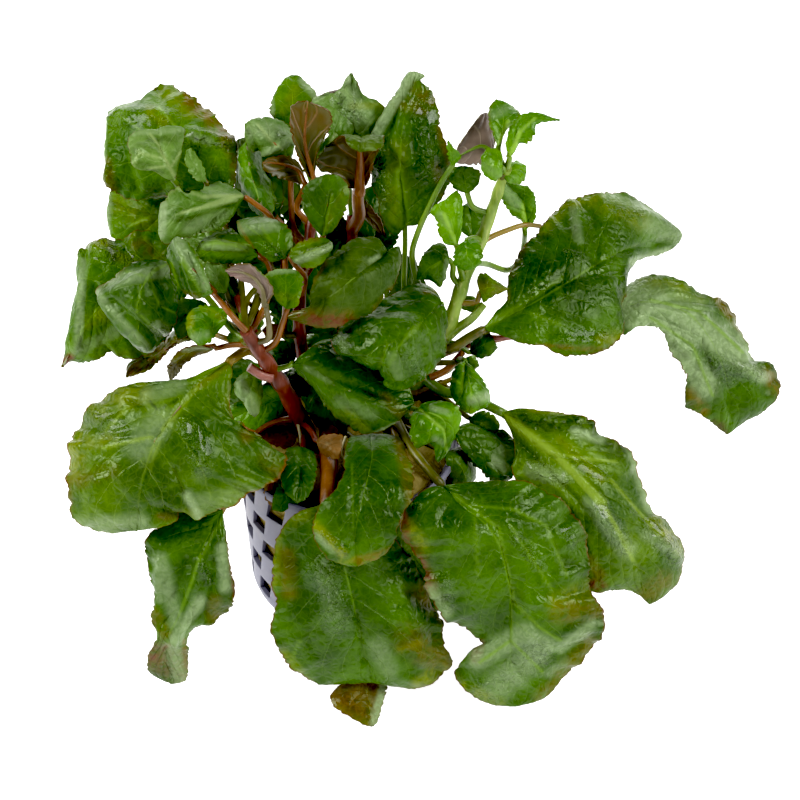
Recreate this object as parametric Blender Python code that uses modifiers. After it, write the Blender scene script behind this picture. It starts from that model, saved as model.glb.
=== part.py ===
"""Wavy cardinal flower, an aquarium plant with ruffled leaves in a small lattice net pot.

The plant stands on the flat base of its pot, with the origin in the middle of that base.
Leaves and stems are given by spots that were read off a photograph, each with its height.
"""
import math

import bmesh
import bpy
from mathutils import Vector

MM = 0.001
GAP = 0.3                     # clearance between pieces that touch, mm

# How the photograph looks at the plant: a long lens, 42 degrees above level, no roll
VIEW_ELEVATION = math.radians(42.0)
VIEW_DISTANCE = 750.0         # mm from the lens to the aim
VIEW_AIM = Vector((13.0, 29.3, 32.5))
MM_PER_PIXEL = 0.25           # at the aim
PICTURE_CENTRE = 400.0        # the middle of an 800 x 800 picture, in pixels

# Net pot, mm
POT_HEIGHT = 48.0
POT_RIM_RADIUS = 27.4
POT_TOP_RADIUS = 26.3
POT_FOOT_RADIUS = 23.8
POT_BASE_RADIUS = 19.5
POT_WALL = 1.2
POT_SIDES = 32
POT_RIM_HEIGHT = 2.4
WINDOW_ROWS = 5
WINDOW_LOWEST = 6.5
WINDOW_PITCH = 7.8
WINDOW_HEIGHT = 5.4
WINDOW_SLANT = math.radians(0.55)   # turn of the lattice for each mm of height

# Growing medium, mm
MEDIUM_BOTTOM = POT_WALL + GAP
MEDIUM_TOP = 44.0
MEDIUM_SIDES = 24

# Leaves and stems, mm
BLADE_THICKNESS = 0.7
PETIOLE_THICKNESS = 1.7
TIP_HALF_WIDTH = 0.8
STEM_STEPS = 9

GREEN = (0.09, 0.24, 0.02, 1.0)
BRIGHT_GREEN = (0.16, 0.38, 0.03, 1.0)
BROWN = (0.16, 0.08, 0.02, 1.0)
RED = (0.30, 0.06, 0.03, 1.0)
OLIVE = (0.32, 0.36, 0.08, 1.0)
POT_GREY = (0.25, 0.25, 0.32, 1.0)
WOOL_BROWN = (0.20, 0.13, 0.05, 1.0)

# Every stem: spots (pixel column, pixel row, height in mm) from root to top, then its two radii in mm
STEMS = {
    "stem_left": dict(
        path=[(308, 440, 44.4), (306, 433, 46.5), (301, 421, 50.5), (293, 405, 57), (283, 387, 64),
              (272, 370, 70), (262, 355, 76), (253, 342, 81), (246, 331, 85)],
        radii=(2.3, 1.5), colour=RED),
    "stem_middle": dict(
        path=[(330, 424, 44.4), (329, 418, 46.2), (314, 392, 52), (302, 350, 65), (299, 318, 76),
              (302, 280, 82), (309, 240, 89), (314, 205, 95)],
        radii=(1.8, 1.2), colour=RED),
    "stem_back": dict(
        path=[(352, 421, 44.4), (352, 415, 46.2), (351, 380, 52), (350, 330, 63), (350, 285, 72),
              (352, 240, 81), (352, 215, 86.5)],
        radii=(1.7, 1.3), colour=RED),
    "stem_right": dict(
        path=[(391, 430, 44.4), (392, 424, 46.4), (402, 408, 50), (422, 375, 59), (446, 332, 70),
              (457, 301, 77), (467, 272, 83), (481, 241, 90), (489, 218, 96), (496, 198, 102),
              (502, 180, 108), (507, 168, 112)],
        radii=(2.2, 1.1), colour=OLIVE),
}

# Every leaf: the stem it grows on and how far up, then spots (pixel column, pixel row, height in mm).
# The petiole runs from the stem to the blade. The midrib runs from there to the tip, and the two
# margins, without its two ends, are the left and right hands of someone who walks up the midrib.
LEAVES = {
    "leaf_left_high": dict(
        stem="stem_left", at=0.64, rows=9,
        petiole=[(244, 314, 79), (236, 290, 81.5), (231, 258, 86), (226, 225, 88.5)],
        midrib=[(218, 190, 97), (200, 176, 101), (178, 160, 103.5), (150, 138, 106), (125, 119, 106),
                (108, 112, 103)],
        left=[(190, 191, 97), (160, 197, 93), (140, 200, 92), (118, 196, 92), (105, 183, 94),
              (103, 170, 96), (107, 155, 98), (109, 140, 100), (109, 125, 102)],
        right=[(232, 190, 99), (236, 165, 102), (237, 148, 104), (228, 130, 106), (217, 117, 107),
               (202, 102, 108), (184, 92, 109), (172, 84, 109), (160, 85, 108), (150, 97, 107),
               (133, 102, 105), (120, 108, 104)]),
    "leaf_left_high_inner": dict(
        stem="stem_left", at=1.0, rows=5,
        petiole=[(239, 299, 87.5), (208, 241, 88), (188, 206, 95), (180, 192, 99.6)],
        midrib=[(175, 181, 103), (169, 168, 106.5), (162, 151, 109), (157, 131, 110)],
        left=[(166, 178, 104), (152, 170, 106), (134, 168, 106), (131, 155, 108), (130, 137, 109.5)],
        right=[(178, 168, 105), (181, 150, 108), (183, 129, 110)]),
    "leaf_left_high_under": dict(
        stem="stem_left", at=0.62, rows=5,
        petiole=[(240, 330, 73), (215, 270, 78.5), (205, 235, 83)],
        midrib=[(185, 213, 86), (160, 214, 85.5), (135, 216, 84), (107, 214, 81)],
        left=[(175, 228, 83), (150, 238, 80), (130, 242, 78.5), (112, 238, 78)],
        right=[(180, 200, 87), (150, 192, 87), (125, 187, 86), (110, 193, 84)]),
    "leaf_left_folded": dict(
        stem="stem_middle", at=0.62, rows=7,
        petiole=[(283, 289, 79.7), (283, 262, 85), (278, 236, 91), (270, 216, 96.5), (258, 206, 98.5)],
        midrib=[(244, 196, 100), (218, 202, 101), (192, 210, 101), (172, 218, 99), (159, 228, 96)],
        left=[(238, 207, 98), (228, 222, 96), (218, 230, 95), (205, 233, 95), (190, 236, 95),
              (175, 240, 95), (163, 243, 94)],
        right=[(232, 188, 101), (222, 182, 102), (208, 185, 102.5), (197, 193, 102.5), (187, 194, 103),
               (178, 186, 103), (168, 196, 101), (163, 208, 99)]),
    "leaf_left_broad": dict(
        stem="stem_left", at=0.78, rows=9,
        petiole=[(232, 329, 75.5), (210, 300, 78)],
        midrib=[(190, 283, 80), (160, 272, 81.5), (130, 280, 80.5), (100, 305, 77), (78, 340, 70),
                (62, 367, 62)],
        left=[(180, 310, 74), (165, 340, 68), (140, 358, 65), (122, 358, 65.5), (109, 352, 67),
              (96, 360, 65), (83, 363, 63.5), (70, 361, 62.5)],
        right=[(183, 255, 86), (158, 234, 88), (135, 231, 88), (117, 239, 86), (100, 239, 86),
               (88, 243, 85), (78, 250, 83), (77, 270, 79), (77, 290, 76), (75, 312, 72), (70, 335, 68),
               (65, 355, 64)]),
    "leaf_left_shiny": dict(
        stem="stem_left", at=0.89, rows=8,
        petiole=[(234, 332, 80.5), (212, 303, 84), (186, 271, 88)],
        midrib=[(168, 263, 90), (150, 275, 90), (138, 300, 87.5), (137, 326, 81), (144, 352, 71.5)],
        left=[(170, 278, 86.5), (179, 292, 84), (178, 310, 80), (172, 328, 77), (163, 341, 74),
              (153, 350, 72)],
        right=[(156, 260, 91), (137, 261, 91), (120, 270, 89), (105, 282, 86), (97, 292, 83),
               (101, 305, 81), (113, 322, 77.5), (127, 338, 74.5), (137, 348, 72.5)]),
    "leaf_left_pointed": dict(
        stem="stem_left", at=1.0, rows=6,
        petiole=[(233, 317, 88.5), (224, 306, 90)],
        midrib=[(213, 293, 91.5), (196, 275, 94), (184, 258, 96.5), (177, 237, 98)],
        left=[(200, 298, 88.5), (185, 294, 88), (173, 280, 90.5), (166, 262, 93), (169, 247, 95)],
        right=[(209, 283, 93), (203, 267, 95.5), (195, 254, 97), (187, 242, 98.5)]),
    "leaf_left_round": dict(
        stem="stem_left", at=0.95, rows=5,
        petiole=[(238, 322, 83.4)],
        midrib=[(229, 310, 86), (215, 318, 85.5), (202, 326, 84.5), (189, 336, 82)],
        left=[(225, 323, 83.6), (220, 329, 82.8), (214, 336, 81.8), (208, 343, 81), (199, 345, 80.5)],
        right=[(221, 308, 86.6), (208, 306, 86.5), (198, 307, 85.5), (188, 314, 84.5), (186, 323, 83.5)]),
    "leaf_left_brown_edge": dict(
        stem="stem_left", at=0.84, rows=5,
        petiole=[(238, 343, 77), (222, 337, 77)],
        midrib=[(205, 331, 75.5), (180, 338, 69.5), (155, 353, 63), (137, 368, 59), (126, 377, 57)],
        left=[(190, 338, 72), (177, 343, 68), (160, 359, 62), (146, 372, 58.5), (135, 375, 57)],
        right=[(190, 322, 72.5), (165, 338, 64.5), (145, 350, 60.5), (129, 363, 58)]),
    "leaf_left_sickle": dict(
        stem="stem_left", at=0.87, rows=5,
        petiole=[(232, 345, 79)],
        midrib=[(214, 349, 77.5), (196, 350, 77), (182, 358, 75), (173, 370, 71), (170, 381, 67)],
        left=[(205, 353, 75.8), (192, 358, 74.5), (182, 367, 72), (176, 376, 69)],
        right=[(198, 345, 79.2), (180, 351, 77.5), (168, 365, 72.5)]),
    "leaf_curled_grey": dict(
        stem="stem_left", at=0.9, rows=5,
        petiole=[(268, 339, 82.5), (269, 325, 86), (267, 312, 90)],
        midrib=[(266, 304, 92.5), (263, 286, 96.5), (248, 273, 99), (226, 270, 98)],
        left=[(273, 292, 96), (263, 275, 99.5), (249, 264, 101), (236, 265, 100.5)],
        right=[(259, 294, 94), (252, 285, 95.5), (240, 279, 96.5), (230, 275, 96.5)]),
    "leaf_centre_left_small": dict(
        stem="stem_left", at=0.8, rows=4,
        petiole=[(275, 343, 80), (283, 322, 86)],
        midrib=[(287, 309, 90), (286, 295, 93), (286, 280, 96), (286, 269, 98)],
        left=[(277, 300, 92), (270, 288, 94), (265, 275, 96), (275, 270, 97)],
        right=[(297, 306, 91), (300, 296, 92.5), (303, 281, 95), (297, 271, 97)]),
    "leaf_centre_left_upper": dict(
        stem="stem_left", at=0.98, rows=5,
        petiole=[(255, 325, 83.5), (267, 300, 85), (271, 277, 87.3), (267, 262, 89.8)],
        midrib=[(258, 256, 91), (240, 248, 92.5), (222, 245, 93), (206, 247, 92), (196, 251, 90)],
        left=[(248, 262, 89), (232, 263, 89), (215, 263, 89), (202, 260, 89)],
        right=[(250, 244, 93), (238, 234, 92.5), (225, 228, 92), (213, 232, 92), (202, 241, 91.5)]),
    "leaf_centre_left_ridge": dict(
        stem="stem_middle", at=0.45, rows=5,
        petiole=[(285, 333, 71.5), (285, 316, 77), (286, 290, 86)],
        midrib=[(285, 259, 94), (272, 246, 96.5), (258, 234, 98.5), (247, 226, 98.5), (237, 221, 97)],
        left=[(270, 261, 93.5), (258, 252, 94.5), (247, 240, 95.5), (239, 230, 96)],
        right=[(292, 248, 96), (291, 234, 98), (284, 223, 99.5), (268, 218, 100), (252, 218, 99)]),
    "leaf_centre_bright": dict(
        stem="stem_middle", at=0.64, rows=4,
        petiole=[(305, 277, 89), (296, 266, 93.5)],
        midrib=[(289, 256, 97), (303, 254, 98.5), (318, 250, 99.5), (332, 244, 99)],
        left=[(293, 247, 99), (303, 241, 100), (316, 238, 100), (327, 239, 99.5)],
        right=[(297, 264, 96), (310, 268, 96), (322, 262, 96.5), (330, 252, 98)]),
    "leaf_top_left_grey": dict(
        stem="stem_middle", at=0.84, rows=5,
        petiole=[(294, 228, 89), (291, 196, 94.5), (291, 176, 98.5)],
        midrib=[(291, 160, 103.5), (280, 147, 108.5), (265, 134, 111), (245, 124, 109.5)],
        left=[(278, 158, 105), (262, 153, 105.5), (250, 150, 105.5), (245, 139, 107.5)],
        right=[(294, 146, 107), (294, 131, 109), (284, 122, 111), (268, 118, 111.5), (254, 119, 111)]),
    "leaf_top_left_pale": dict(
        stem="stem_middle", at=0.8, rows=6,
        petiole=[(296, 240, 85.5), (286, 228, 89)],
        midrib=[(275, 217, 92), (262, 190, 94.5), (251, 162, 98), (243, 138, 101.5)],
        left=[(259, 209, 91), (245, 201, 91), (237, 192, 91.5), (235, 175, 94), (236, 155, 97),
              (237, 141, 100)],
        right=[(282, 205, 93.5), (283, 190, 95), (278, 172, 97.5), (268, 152, 101), (257, 138, 103)]),
    "leaf_top_left_tip": dict(
        stem="stem_middle", at=0.97, rows=6,
        petiole=[(313, 187, 96.5), (304, 160, 102)],
        midrib=[(294, 130, 107.5), (293, 110, 111), (292, 90, 113), (292, 75, 113.5)],
        left=[(280, 124, 107.5), (271, 114, 110), (272, 100, 111.5), (278, 88, 113), (285, 79, 113.5)],
        right=[(308, 122, 108), (317, 106, 109.5), (315, 93, 111), (308, 83, 112.5), (300, 77, 113.5)]),
    "leaf_top_brown_upright": dict(
        stem="stem_middle", at=1.0, rows=6,
        petiole=[(314, 192, 100)],
        midrib=[(313, 180, 103.5), (308, 160, 108), (305, 140, 112.5), (306, 120, 117), (308, 101, 121)],
        left=[(316, 166, 106.5), (318, 150, 110.5), (325, 138, 113.5), (331, 125, 116.5),
              (331, 113, 119), (320, 106, 120.5)],
        right=[(304, 170, 106.5), (297, 153, 110), (292, 135, 114), (291, 118, 117), (291, 108, 119),
               (297, 102, 120.5)]),
    "leaf_top_brown_low": dict(
        stem="stem_middle", at=0.92, rows=5,
        petiole=[(297, 209, 94.6), (302, 193, 99)],
        midrib=[(306, 184, 101.5), (297, 171, 103.5), (284, 165, 105.5), (272, 163, 106.5),
                (262, 163, 107)],
        left=[(301, 166, 103.5), (290, 157, 106), (277, 157, 107.5), (268, 158, 107.5)],
        right=[(300, 184, 101), (285, 179, 103), (272, 175, 104.5), (264, 170, 106)]),
    "leaf_top_brown_folded": dict(
        stem="stem_back", at=0.93, rows=8,
        petiole=[(359, 216, 89), (358, 202, 94)],
        midrib=[(358, 189, 98), (360, 172, 102.5), (361, 156, 107), (361, 143, 110.5), (361, 137, 113.2),
                (361, 144, 114.2), (360, 152, 113)],
        left=[(367, 184, 99.5), (373, 168, 105), (377, 152, 110), (382, 141, 113.2), (384, 137, 115.2),
              (383, 142, 116), (376, 149, 115.2)],
        right=[(348, 187, 99.5), (335, 175, 102.5), (320, 168, 104.5), (318, 156, 107.5),
               (327, 145, 110.2), (336, 138, 112.6), (344, 136, 114), (347, 144, 114), (353, 149, 113.4)]),
    "leaf_top_middle": dict(
        stem="stem_back", at=1.0, rows=7,
        petiole=[(350, 197, 90)],
        midrib=[(346, 168, 98.5), (350, 146, 105), (354, 125, 110.5), (354, 105, 114.5),
                (353, 88, 117.5), (351, 73, 119.5)],
        left=[(324, 172, 99.5), (316, 163, 102.5), (320, 148, 107), (328, 136, 110), (322, 118, 112),
              (312, 101, 112.5), (330, 91, 115.5), (342, 84, 118)],
        right=[(374, 160, 100), (384, 140, 106.5), (380, 122, 111.5), (384, 108, 114), (377, 101, 115.5),
               (364, 95, 117), (357, 83, 119)]),
    "leaf_top_tall": dict(
        stem="stem_right", at=0.16, rows=9,
        petiole=[(407, 377, 56.5), (409, 352, 62.5), (405, 330, 67.5), (404, 282, 78.5), (405, 250, 87)],
        midrib=[(405, 226, 93), (403, 200, 98.5), (400, 166, 105.5), (402, 132, 111.5),
                (408, 100, 117.5), (416, 72, 122.5)],
        left=[(395, 236, 91), (384, 222, 94), (377, 200, 97), (371, 175, 101.3), (369, 150, 106),
              (372, 132, 109.5), (383, 113, 114), (397, 92, 118.5), (409, 73, 122)],
        right=[(418, 224, 93.5), (432, 211, 96), (446, 190, 100), (452, 163, 104.5), (449, 150, 107.5),
               (443, 138, 110.5), (440, 120, 114), (436, 103, 117), (429, 88, 119.5), (420, 80, 121.5),
               (424, 76, 122.5)]),
    "leaf_centre_heart": dict(
        stem="stem_middle", at=0.7, rows=6,
        petiole=[(314, 262, 89.5), (320, 248, 93.5)],
        midrib=[(322, 237, 97), (324, 215, 102.5), (328, 195, 107), (327, 174, 111)],
        left=[(308, 219, 101), (302, 205, 103.5), (303, 190, 106.5), (312, 180, 109)],
        right=[(333, 230, 99.5), (343, 215, 102.5), (349, 198, 105.5), (347, 185, 108), (338, 176, 110.5)]),
    "leaf_centre_dull": dict(
        stem="stem_right", at=0.1, rows=8,
        petiole=[(394, 390, 53), (395, 352, 61), (389, 315, 71), (386, 283, 80), (386, 262, 87.5)],
        midrib=[(388, 252, 92.5), (368, 268, 94.5), (344, 287, 92.5), (317, 304, 88), (285, 317, 83)],
        left=[(399, 247, 92), (402, 262, 90), (397, 278, 88.5), (384, 298, 86.5), (368, 314, 84.5),
              (350, 322, 83.5), (325, 328, 82.5), (304, 323, 82.5)],
        right=[(376, 237, 95), (360, 238, 96), (347, 242, 96), (337, 251, 95.5), (326, 263, 94),
               (316, 274, 92), (311, 290, 89.5), (307, 308, 86), (295, 311, 84)]),
    "leaf_centre_quilted": dict(
        stem="stem_right", at=0.38, rows=8,
        petiole=[(440, 326, 73.2), (441, 313, 76.5)],
        midrib=[(442, 302, 79.5), (424, 320, 82), (402, 343, 81.5), (389, 366, 77), (391, 389, 70)],
        left=[(448, 318, 77), (447, 342, 73.5), (441, 364, 71), (430, 375, 70), (416, 385, 69.5),
              (403, 390, 69.5)],
        right=[(430, 285, 82), (408, 286, 83), (380, 301, 82), (358, 313, 80.5), (343, 323, 79.5),
               (332, 337, 78), (334, 350, 76.5), (350, 360, 75), (367, 366, 73.5), (385, 376, 71),
               (384, 384, 70)]),
    "leaf_front_long": dict(
        stem="stem_left", at=0.62, rows=8,
        petiole=[],
        midrib=[(292, 365, 72.5), (308, 368, 71.5), (330, 380, 69), (360, 396, 66), (390, 405, 63),
                (414, 403, 61.5)],
        left=[(300, 356, 74), (312, 348, 74), (327, 344, 73), (350, 352, 70.5), (370, 366, 68),
              (390, 380, 66), (408, 388, 64.5)],
        right=[(298, 373, 69.8), (304, 377, 68.5), (314, 388, 66), (324, 404, 63), (336, 417, 60.5),
               (348, 426, 59), (362, 433, 57.5), (378, 432, 57.5), (396, 422, 59)]),
    "leaf_front_hanging": dict(
        stem="stem_back", at=0.04, rows=8,
        petiole=[(362, 424, 51)],
        midrib=[(370, 434, 54), (372, 456, 56), (366, 485, 55.5), (359, 513, 52.5), (355, 543, 46.5),
                (357, 566, 41.5)],
        left=[(398, 436, 54), (409, 458, 55), (414, 475, 55), (411, 497, 54), (401, 517, 51),
              (396, 535, 47.5), (388, 552, 44), (372, 561, 42)],
        right=[(350, 438, 55.5), (345, 455, 57), (344, 472, 57), (333, 493, 55.5), (320, 505, 54),
               (314, 525, 50.5), (316, 543, 47), (328, 558, 44), (345, 565, 42)]),
    "leaf_front_largest": dict(
        stem="stem_middle", at=0.02, rows=10, petiole_width=3.2,
        petiole=[(329, 447, 48.8), (329, 468, 50.9), (329, 488, 51.5)],
        midrib=[(328, 503, 51), (335, 530, 46.5), (345, 570, 37.5), (355, 610, 28.5), (365, 650, 18),
                (372, 682, 9)],
        left=[(350, 508, 50.6), (372, 518, 47), (390, 533, 41.5), (402, 548, 37), (414, 562, 33),
              (424, 580, 29), (432, 602, 24.5), (443, 622, 20.5), (446, 648, 15), (453, 667, 10),
              (438, 680, 8), (418, 690, 6), (400, 688, 6.5)],
        right=[(300, 512, 50), (284, 526, 46), (276, 541, 42), (273, 562, 38), (272, 585, 33),
               (276, 603, 29), (271, 625, 25), (276, 645, 20), (288, 665, 15), (304, 678, 11),
               (322, 685, 9), (345, 684, 8.5)]),
    "leaf_front_lowest": dict(
        stem="stem_right", at=0.02, rows=5,
        petiole=[(400, 455, 50.5), (405, 478, 51.8), (405, 498, 51), (403, 517, 45), (401, 545, 34.5),
                 (392, 582, 24.5), (381, 620, 16.5)],
        midrib=[(373, 648, 12), (370, 675, 7), (368, 700, 3.8), (373, 726, 1.7)],
        left=[(388, 666, 9), (387, 684, 5.5), (382, 705, 3.2), (378, 721, 2.2)],
        right=[(345, 680, 8), (331, 696, 5.2), (339, 710, 3.6), (356, 721, 2.6), (367, 726, 2)]),
    "leaf_low_left": dict(
        stem="stem_left", at=0.02, rows=10,
        petiole=[(300, 448, 48.5), (284, 457, 50.7), (262, 471, 51.6), (240, 489, 50.5)],
        midrib=[(222, 510, 47.5), (205, 543, 42), (192, 580, 34.5), (180, 612, 27), (168, 638, 21),
                (166, 662, 12.5), (172, 684, 5)],
        left=[(225, 533, 43.5), (228, 552, 40), (230, 570, 35.5), (235, 588, 31), (233, 602, 28),
              (225, 614, 25), (213, 624, 23), (198, 626, 22.5), (188, 636, 20), (188, 655, 13.5),
              (186, 680, 5.5)],
        right=[(205, 516, 46.5), (185, 519, 45.5), (165, 524, 44.5), (152, 532, 43.5), (145, 545, 41.5),
               (146, 560, 38), (151, 578, 33.5), (155, 600, 29), (152, 618, 25.5), (157, 636, 21),
               (148, 658, 13.5), (149, 672, 9), (160, 679, 6.5)]),
    "leaf_left_largest": dict(
        stem="stem_left", at=0.7, rows=11, petiole_width=2.4,
        petiole=[(244, 354, 74.5), (222, 365, 74.5)],
        midrib=[(196, 385, 73), (177, 407, 72), (160, 432, 69), (148, 460, 64), (140, 492, 57),
                (138, 530, 47)],
        left=[(207, 397, 71.5), (220, 404, 69.5), (232, 415, 67.5), (240, 428, 65.5), (260, 436, 63),
              (281, 450, 60), (287, 463, 58.5), (278, 478, 57.5), (262, 488, 56.5), (248, 496, 55),
              (232, 506, 53), (215, 512, 52), (203, 518, 51), (190, 513, 51.5), (181, 511, 51.5),
              (177, 520, 50), (160, 527, 49)],
        right=[(172, 382, 73.5), (150, 382, 73), (124, 386, 71), (100, 398, 68), (86, 413, 65),
               (74, 428, 62.5), (68, 445, 60), (66, 465, 57), (67, 485, 54), (67, 502, 51),
               (72, 517, 48), (88, 530, 45.5), (110, 533, 45)]),
    "leaf_right_front": dict(
        stem="stem_right", at=0.05, rows=11,
        petiole=[(400, 427, 52.5), (412, 449, 53.6), (428, 470, 52.3)],
        midrib=[(443, 486, 50.3), (465, 509, 48.5), (488, 527, 47), (503, 555, 41), (510, 590, 33),
                (510, 625, 24), (511, 660, 15), (517, 706, 5)],
        left=[(455, 484, 51.5), (481, 481, 52), (510, 480, 52), (531, 483, 51), (548, 491, 49.5),
              (569, 506, 46), (582, 525, 42), (590, 548, 37), (590, 570, 33), (592, 590, 29),
              (603, 612, 25), (605, 628, 21), (600, 642, 17), (582, 662, 12), (561, 681, 8),
              (545, 698, 5.5)],
        right=[(432, 487, 52.5), (418, 495, 52), (407, 508, 51), (402, 525, 48.5), (402, 540, 45.5),
               (413, 550, 42.5), (422, 564, 38.5), (426, 586, 33.5), (434, 604, 29), (444, 618, 25),
               (460, 628, 22), (475, 636, 19.5), (484, 646, 17), (466, 658, 14), (455, 672, 11),
               (459, 684, 8.5), (474, 697, 6), (495, 705, 5)]),
    "leaf_right_low": dict(
        stem="stem_right", at=0.22, rows=11, petiole_width=2.4,
        petiole=[(442, 391, 58.5), (465, 396, 58.5), (487, 405, 57.5)],
        midrib=[(503, 413, 56.5), (530, 434, 54), (558, 460, 51), (585, 490, 46), (610, 520, 40),
                (632, 555, 31), (650, 604, 17)],
        left=[(517, 409, 57.5), (530, 409, 58), (550, 412, 57.5), (572, 414, 56), (594, 421, 54),
              (601, 434, 51.5), (622, 443, 48.5), (634, 455, 45.5), (638, 472, 42), (644, 492, 38),
              (650, 508, 35), (664, 518, 32), (676, 530, 29), (684, 548, 25), (685, 565, 22),
              (680, 579, 19.5), (668, 594, 17)],
        right=[(512, 435, 53), (515, 452, 50.5), (512, 470, 48), (525, 492, 44), (545, 515, 40),
               (562, 540, 35.5), (575, 565, 30.5), (589, 590, 25), (603, 592, 23.5), (618, 590, 22.5),
               (634, 592, 20.5), (642, 598, 19)]),
    "leaf_right_dark": dict(
        stem="stem_right", at=0.08, rows=4,
        petiole=[(425, 430, 50), (445, 434, 51)],
        midrib=[(462, 440, 50), (482, 455, 48.5), (503, 475, 45)],
        left=[(480, 434, 50.5), (500, 430, 50.5), (511, 440, 49), (513, 458, 47), (509, 474, 45.5)],
        right=[(465, 453, 48), (474, 465, 46.5), (487, 473, 45.5), (497, 478, 44.5)]),
    "leaf_right_large": dict(
        stem="stem_right", at=0.33, rows=11, petiole_width=2.4,
        petiole=[(452, 348, 69), (472, 336, 71)],
        midrib=[(502, 319, 72.5), (530, 305, 74.5), (560, 287, 76), (595, 265, 76.5), (630, 247, 74.5),
                (658, 238, 71), (682, 235, 67.5)],
        left=[(508, 300, 75.5), (509, 277, 77.5), (520, 252, 79.5), (535, 235, 80.5), (547, 220, 81.5),
              (562, 204, 82.5), (585, 194, 82.5), (605, 192, 82), (628, 193, 80), (645, 204, 77),
              (664, 219, 73), (676, 228, 70)],
        right=[(512, 338, 70.5), (530, 344, 69), (547, 346, 68), (560, 354, 66), (575, 356, 65.5),
               (590, 354, 65), (606, 348, 65), (620, 340, 65), (625, 325, 66.5), (623, 308, 68),
               (627, 290, 69), (629, 272, 69.5), (640, 260, 68), (655, 255, 67), (668, 251, 66),
               (678, 243, 66.5)]),
    "leaf_right_far": dict(
        stem="stem_right", at=0.29, rows=10,
        petiole=[(468, 346, 64), (500, 339, 62.5), (550, 326, 61), (590, 314, 61)],
        midrib=[(615, 308, 62), (645, 303, 62.5), (675, 308, 60), (700, 325, 55), (718, 355, 47.5),
                (728, 390, 38), (727, 434, 27)],
        left=[(630, 283, 63.5), (645, 276, 64), (672, 276, 63.5), (690, 285, 61), (711, 297, 57.5),
              (724, 299, 55), (735, 315, 51), (744, 336, 47), (755, 358, 42), (772, 364, 39),
              (781, 378, 36), (778, 396, 33.5), (766, 411, 31), (748, 420, 28.5)],
        right=[(624, 335, 58), (636, 327, 58.5), (652, 326, 57.5), (663, 333, 55), (671, 350, 51.5),
               (680, 365, 48), (689, 378, 44), (685, 394, 40), (687, 406, 37), (700, 414, 34),
               (713, 424, 31)]),
    "shoot_leaf_left": dict(
        stem="stem_right", at=0.985, rows=4,
        petiole=[(499, 156, 113.5)],
        midrib=[(498, 146, 115.5), (503, 125, 118.5), (502, 101, 120)],
        left=[(493, 132, 117), (489, 120, 118), (490, 107, 119.5), (495, 100, 120.2)],
        right=[(507, 129, 117.5), (520, 119, 118), (515, 108, 119), (506, 102, 119.8)]),
    "shoot_leaf_right": dict(
        stem="stem_right", at=1.0, rows=5,
        petiole=[],
        midrib=[(510, 157, 115), (514, 138, 118.7), (523, 121, 121.5), (540, 117, 122), (560, 120, 121)],
        left=[(506, 147, 117), (508, 132, 120), (518, 118, 122), (534, 113, 122.5), (548, 116, 122)],
        right=[(516, 150, 116), (519, 143, 117.2), (527, 143, 117.7), (534, 135, 119), (537, 124, 120.5),
               (548, 122, 121)]),
    "shoot_leaf_grey": dict(
        stem="stem_right", at=0.95, rows=4,
        petiole=[(499, 168, 108.5)],
        midrib=[(493, 152, 110), (482, 147, 111), (470, 151, 110.5), (456, 158, 109)],
        left=[(495, 136, 112.5), (488, 113, 114.5), (478, 119, 114), (466, 135, 112.5), (458, 147, 111)],
        right=[(486, 158, 108.7), (480, 164, 108.2), (468, 165, 107.7), (458, 163, 108)]),
    "shoot_leaf_round": dict(
        stem="stem_right", at=0.975, rows=4,
        petiole=[],
        midrib=[(502, 167, 113.8), (496, 166, 114.5), (490, 165, 114.2), (482, 162, 113)],
        left=[(501, 177, 112), (495, 181, 111.2), (487, 177, 111.2), (482, 170, 112)],
        right=[(502, 154, 115.5), (496, 149, 116), (488, 149, 115.7), (482, 154, 114.5)]),
    "shoot_leaf_side": dict(
        stem="stem_right", at=0.62, rows=5,
        petiole=[(487, 264, 79), (508, 270, 74.5), (521, 258, 73.5), (524, 244, 77.5)],
        midrib=[(525, 231, 83.5), (527, 222, 86.5), (524, 205, 91.5), (516, 192, 95.5), (504, 180, 99)],
        left=[(522, 221, 87), (511, 213, 90), (504, 203, 93), (501, 192, 96.3)],
        right=[(534, 220, 87), (536, 205, 91.5), (530, 188, 97), (520, 186, 98), (511, 180, 99.5)]),
    "shoot_leaf_small": dict(
        stem="stem_right", at=0.36, rows=3,
        petiole=[(432, 322, 70.5), (420, 290, 79), (412, 255, 88.5), (418, 232, 94), (430, 205, 100.5),
                 (441, 183, 105.5)],
        midrib=[(452, 166, 110), (453, 155, 113), (448, 141, 116.5)],
        left=[(449, 158, 112), (447, 148, 114.5)],
        right=[(459, 160, 112), (461, 155, 113), (454, 148, 115)]),
    "shoot_leaf_bright": dict(
        stem="stem_right", at=0.56, rows=4,
        petiole=[(459, 264, 88.5)],
        midrib=[(457, 246, 93), (453, 228, 97.5), (449, 212, 100.5), (445, 200, 102.5)],
        left=[(445, 243, 94), (438, 230, 96.5), (436, 219, 98.5), (430, 211, 100), (437, 204, 101.7)],
        right=[(461, 232, 96), (462, 215, 99.3), (462, 200, 102), (457, 191, 103.7), (450, 195, 103.3)]),
    "shoot_leaf_dark": dict(
        stem="stem_right", at=0.8, rows=4,
        petiole=[(473, 207, 99.5)],
        midrib=[(467, 193, 103), (465, 180, 106), (463, 166, 109)],
        left=[(456, 189, 103.5), (449, 179, 106), (453, 168, 108.3)],
        right=[(474, 189, 104), (480, 180, 105.7), (480, 172, 107.7), (471, 167, 109)]),
    "shoot_leaf_low_round": dict(
        stem="stem_right", at=0.7, rows=4,
        petiole=[(474, 238, 94)],
        midrib=[(466, 240, 96), (467, 254, 96), (468, 270, 92.5)],
        left=[(474, 239, 96.5), (481, 248, 96), (482, 259, 94.5), (477, 267, 93)],
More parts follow.
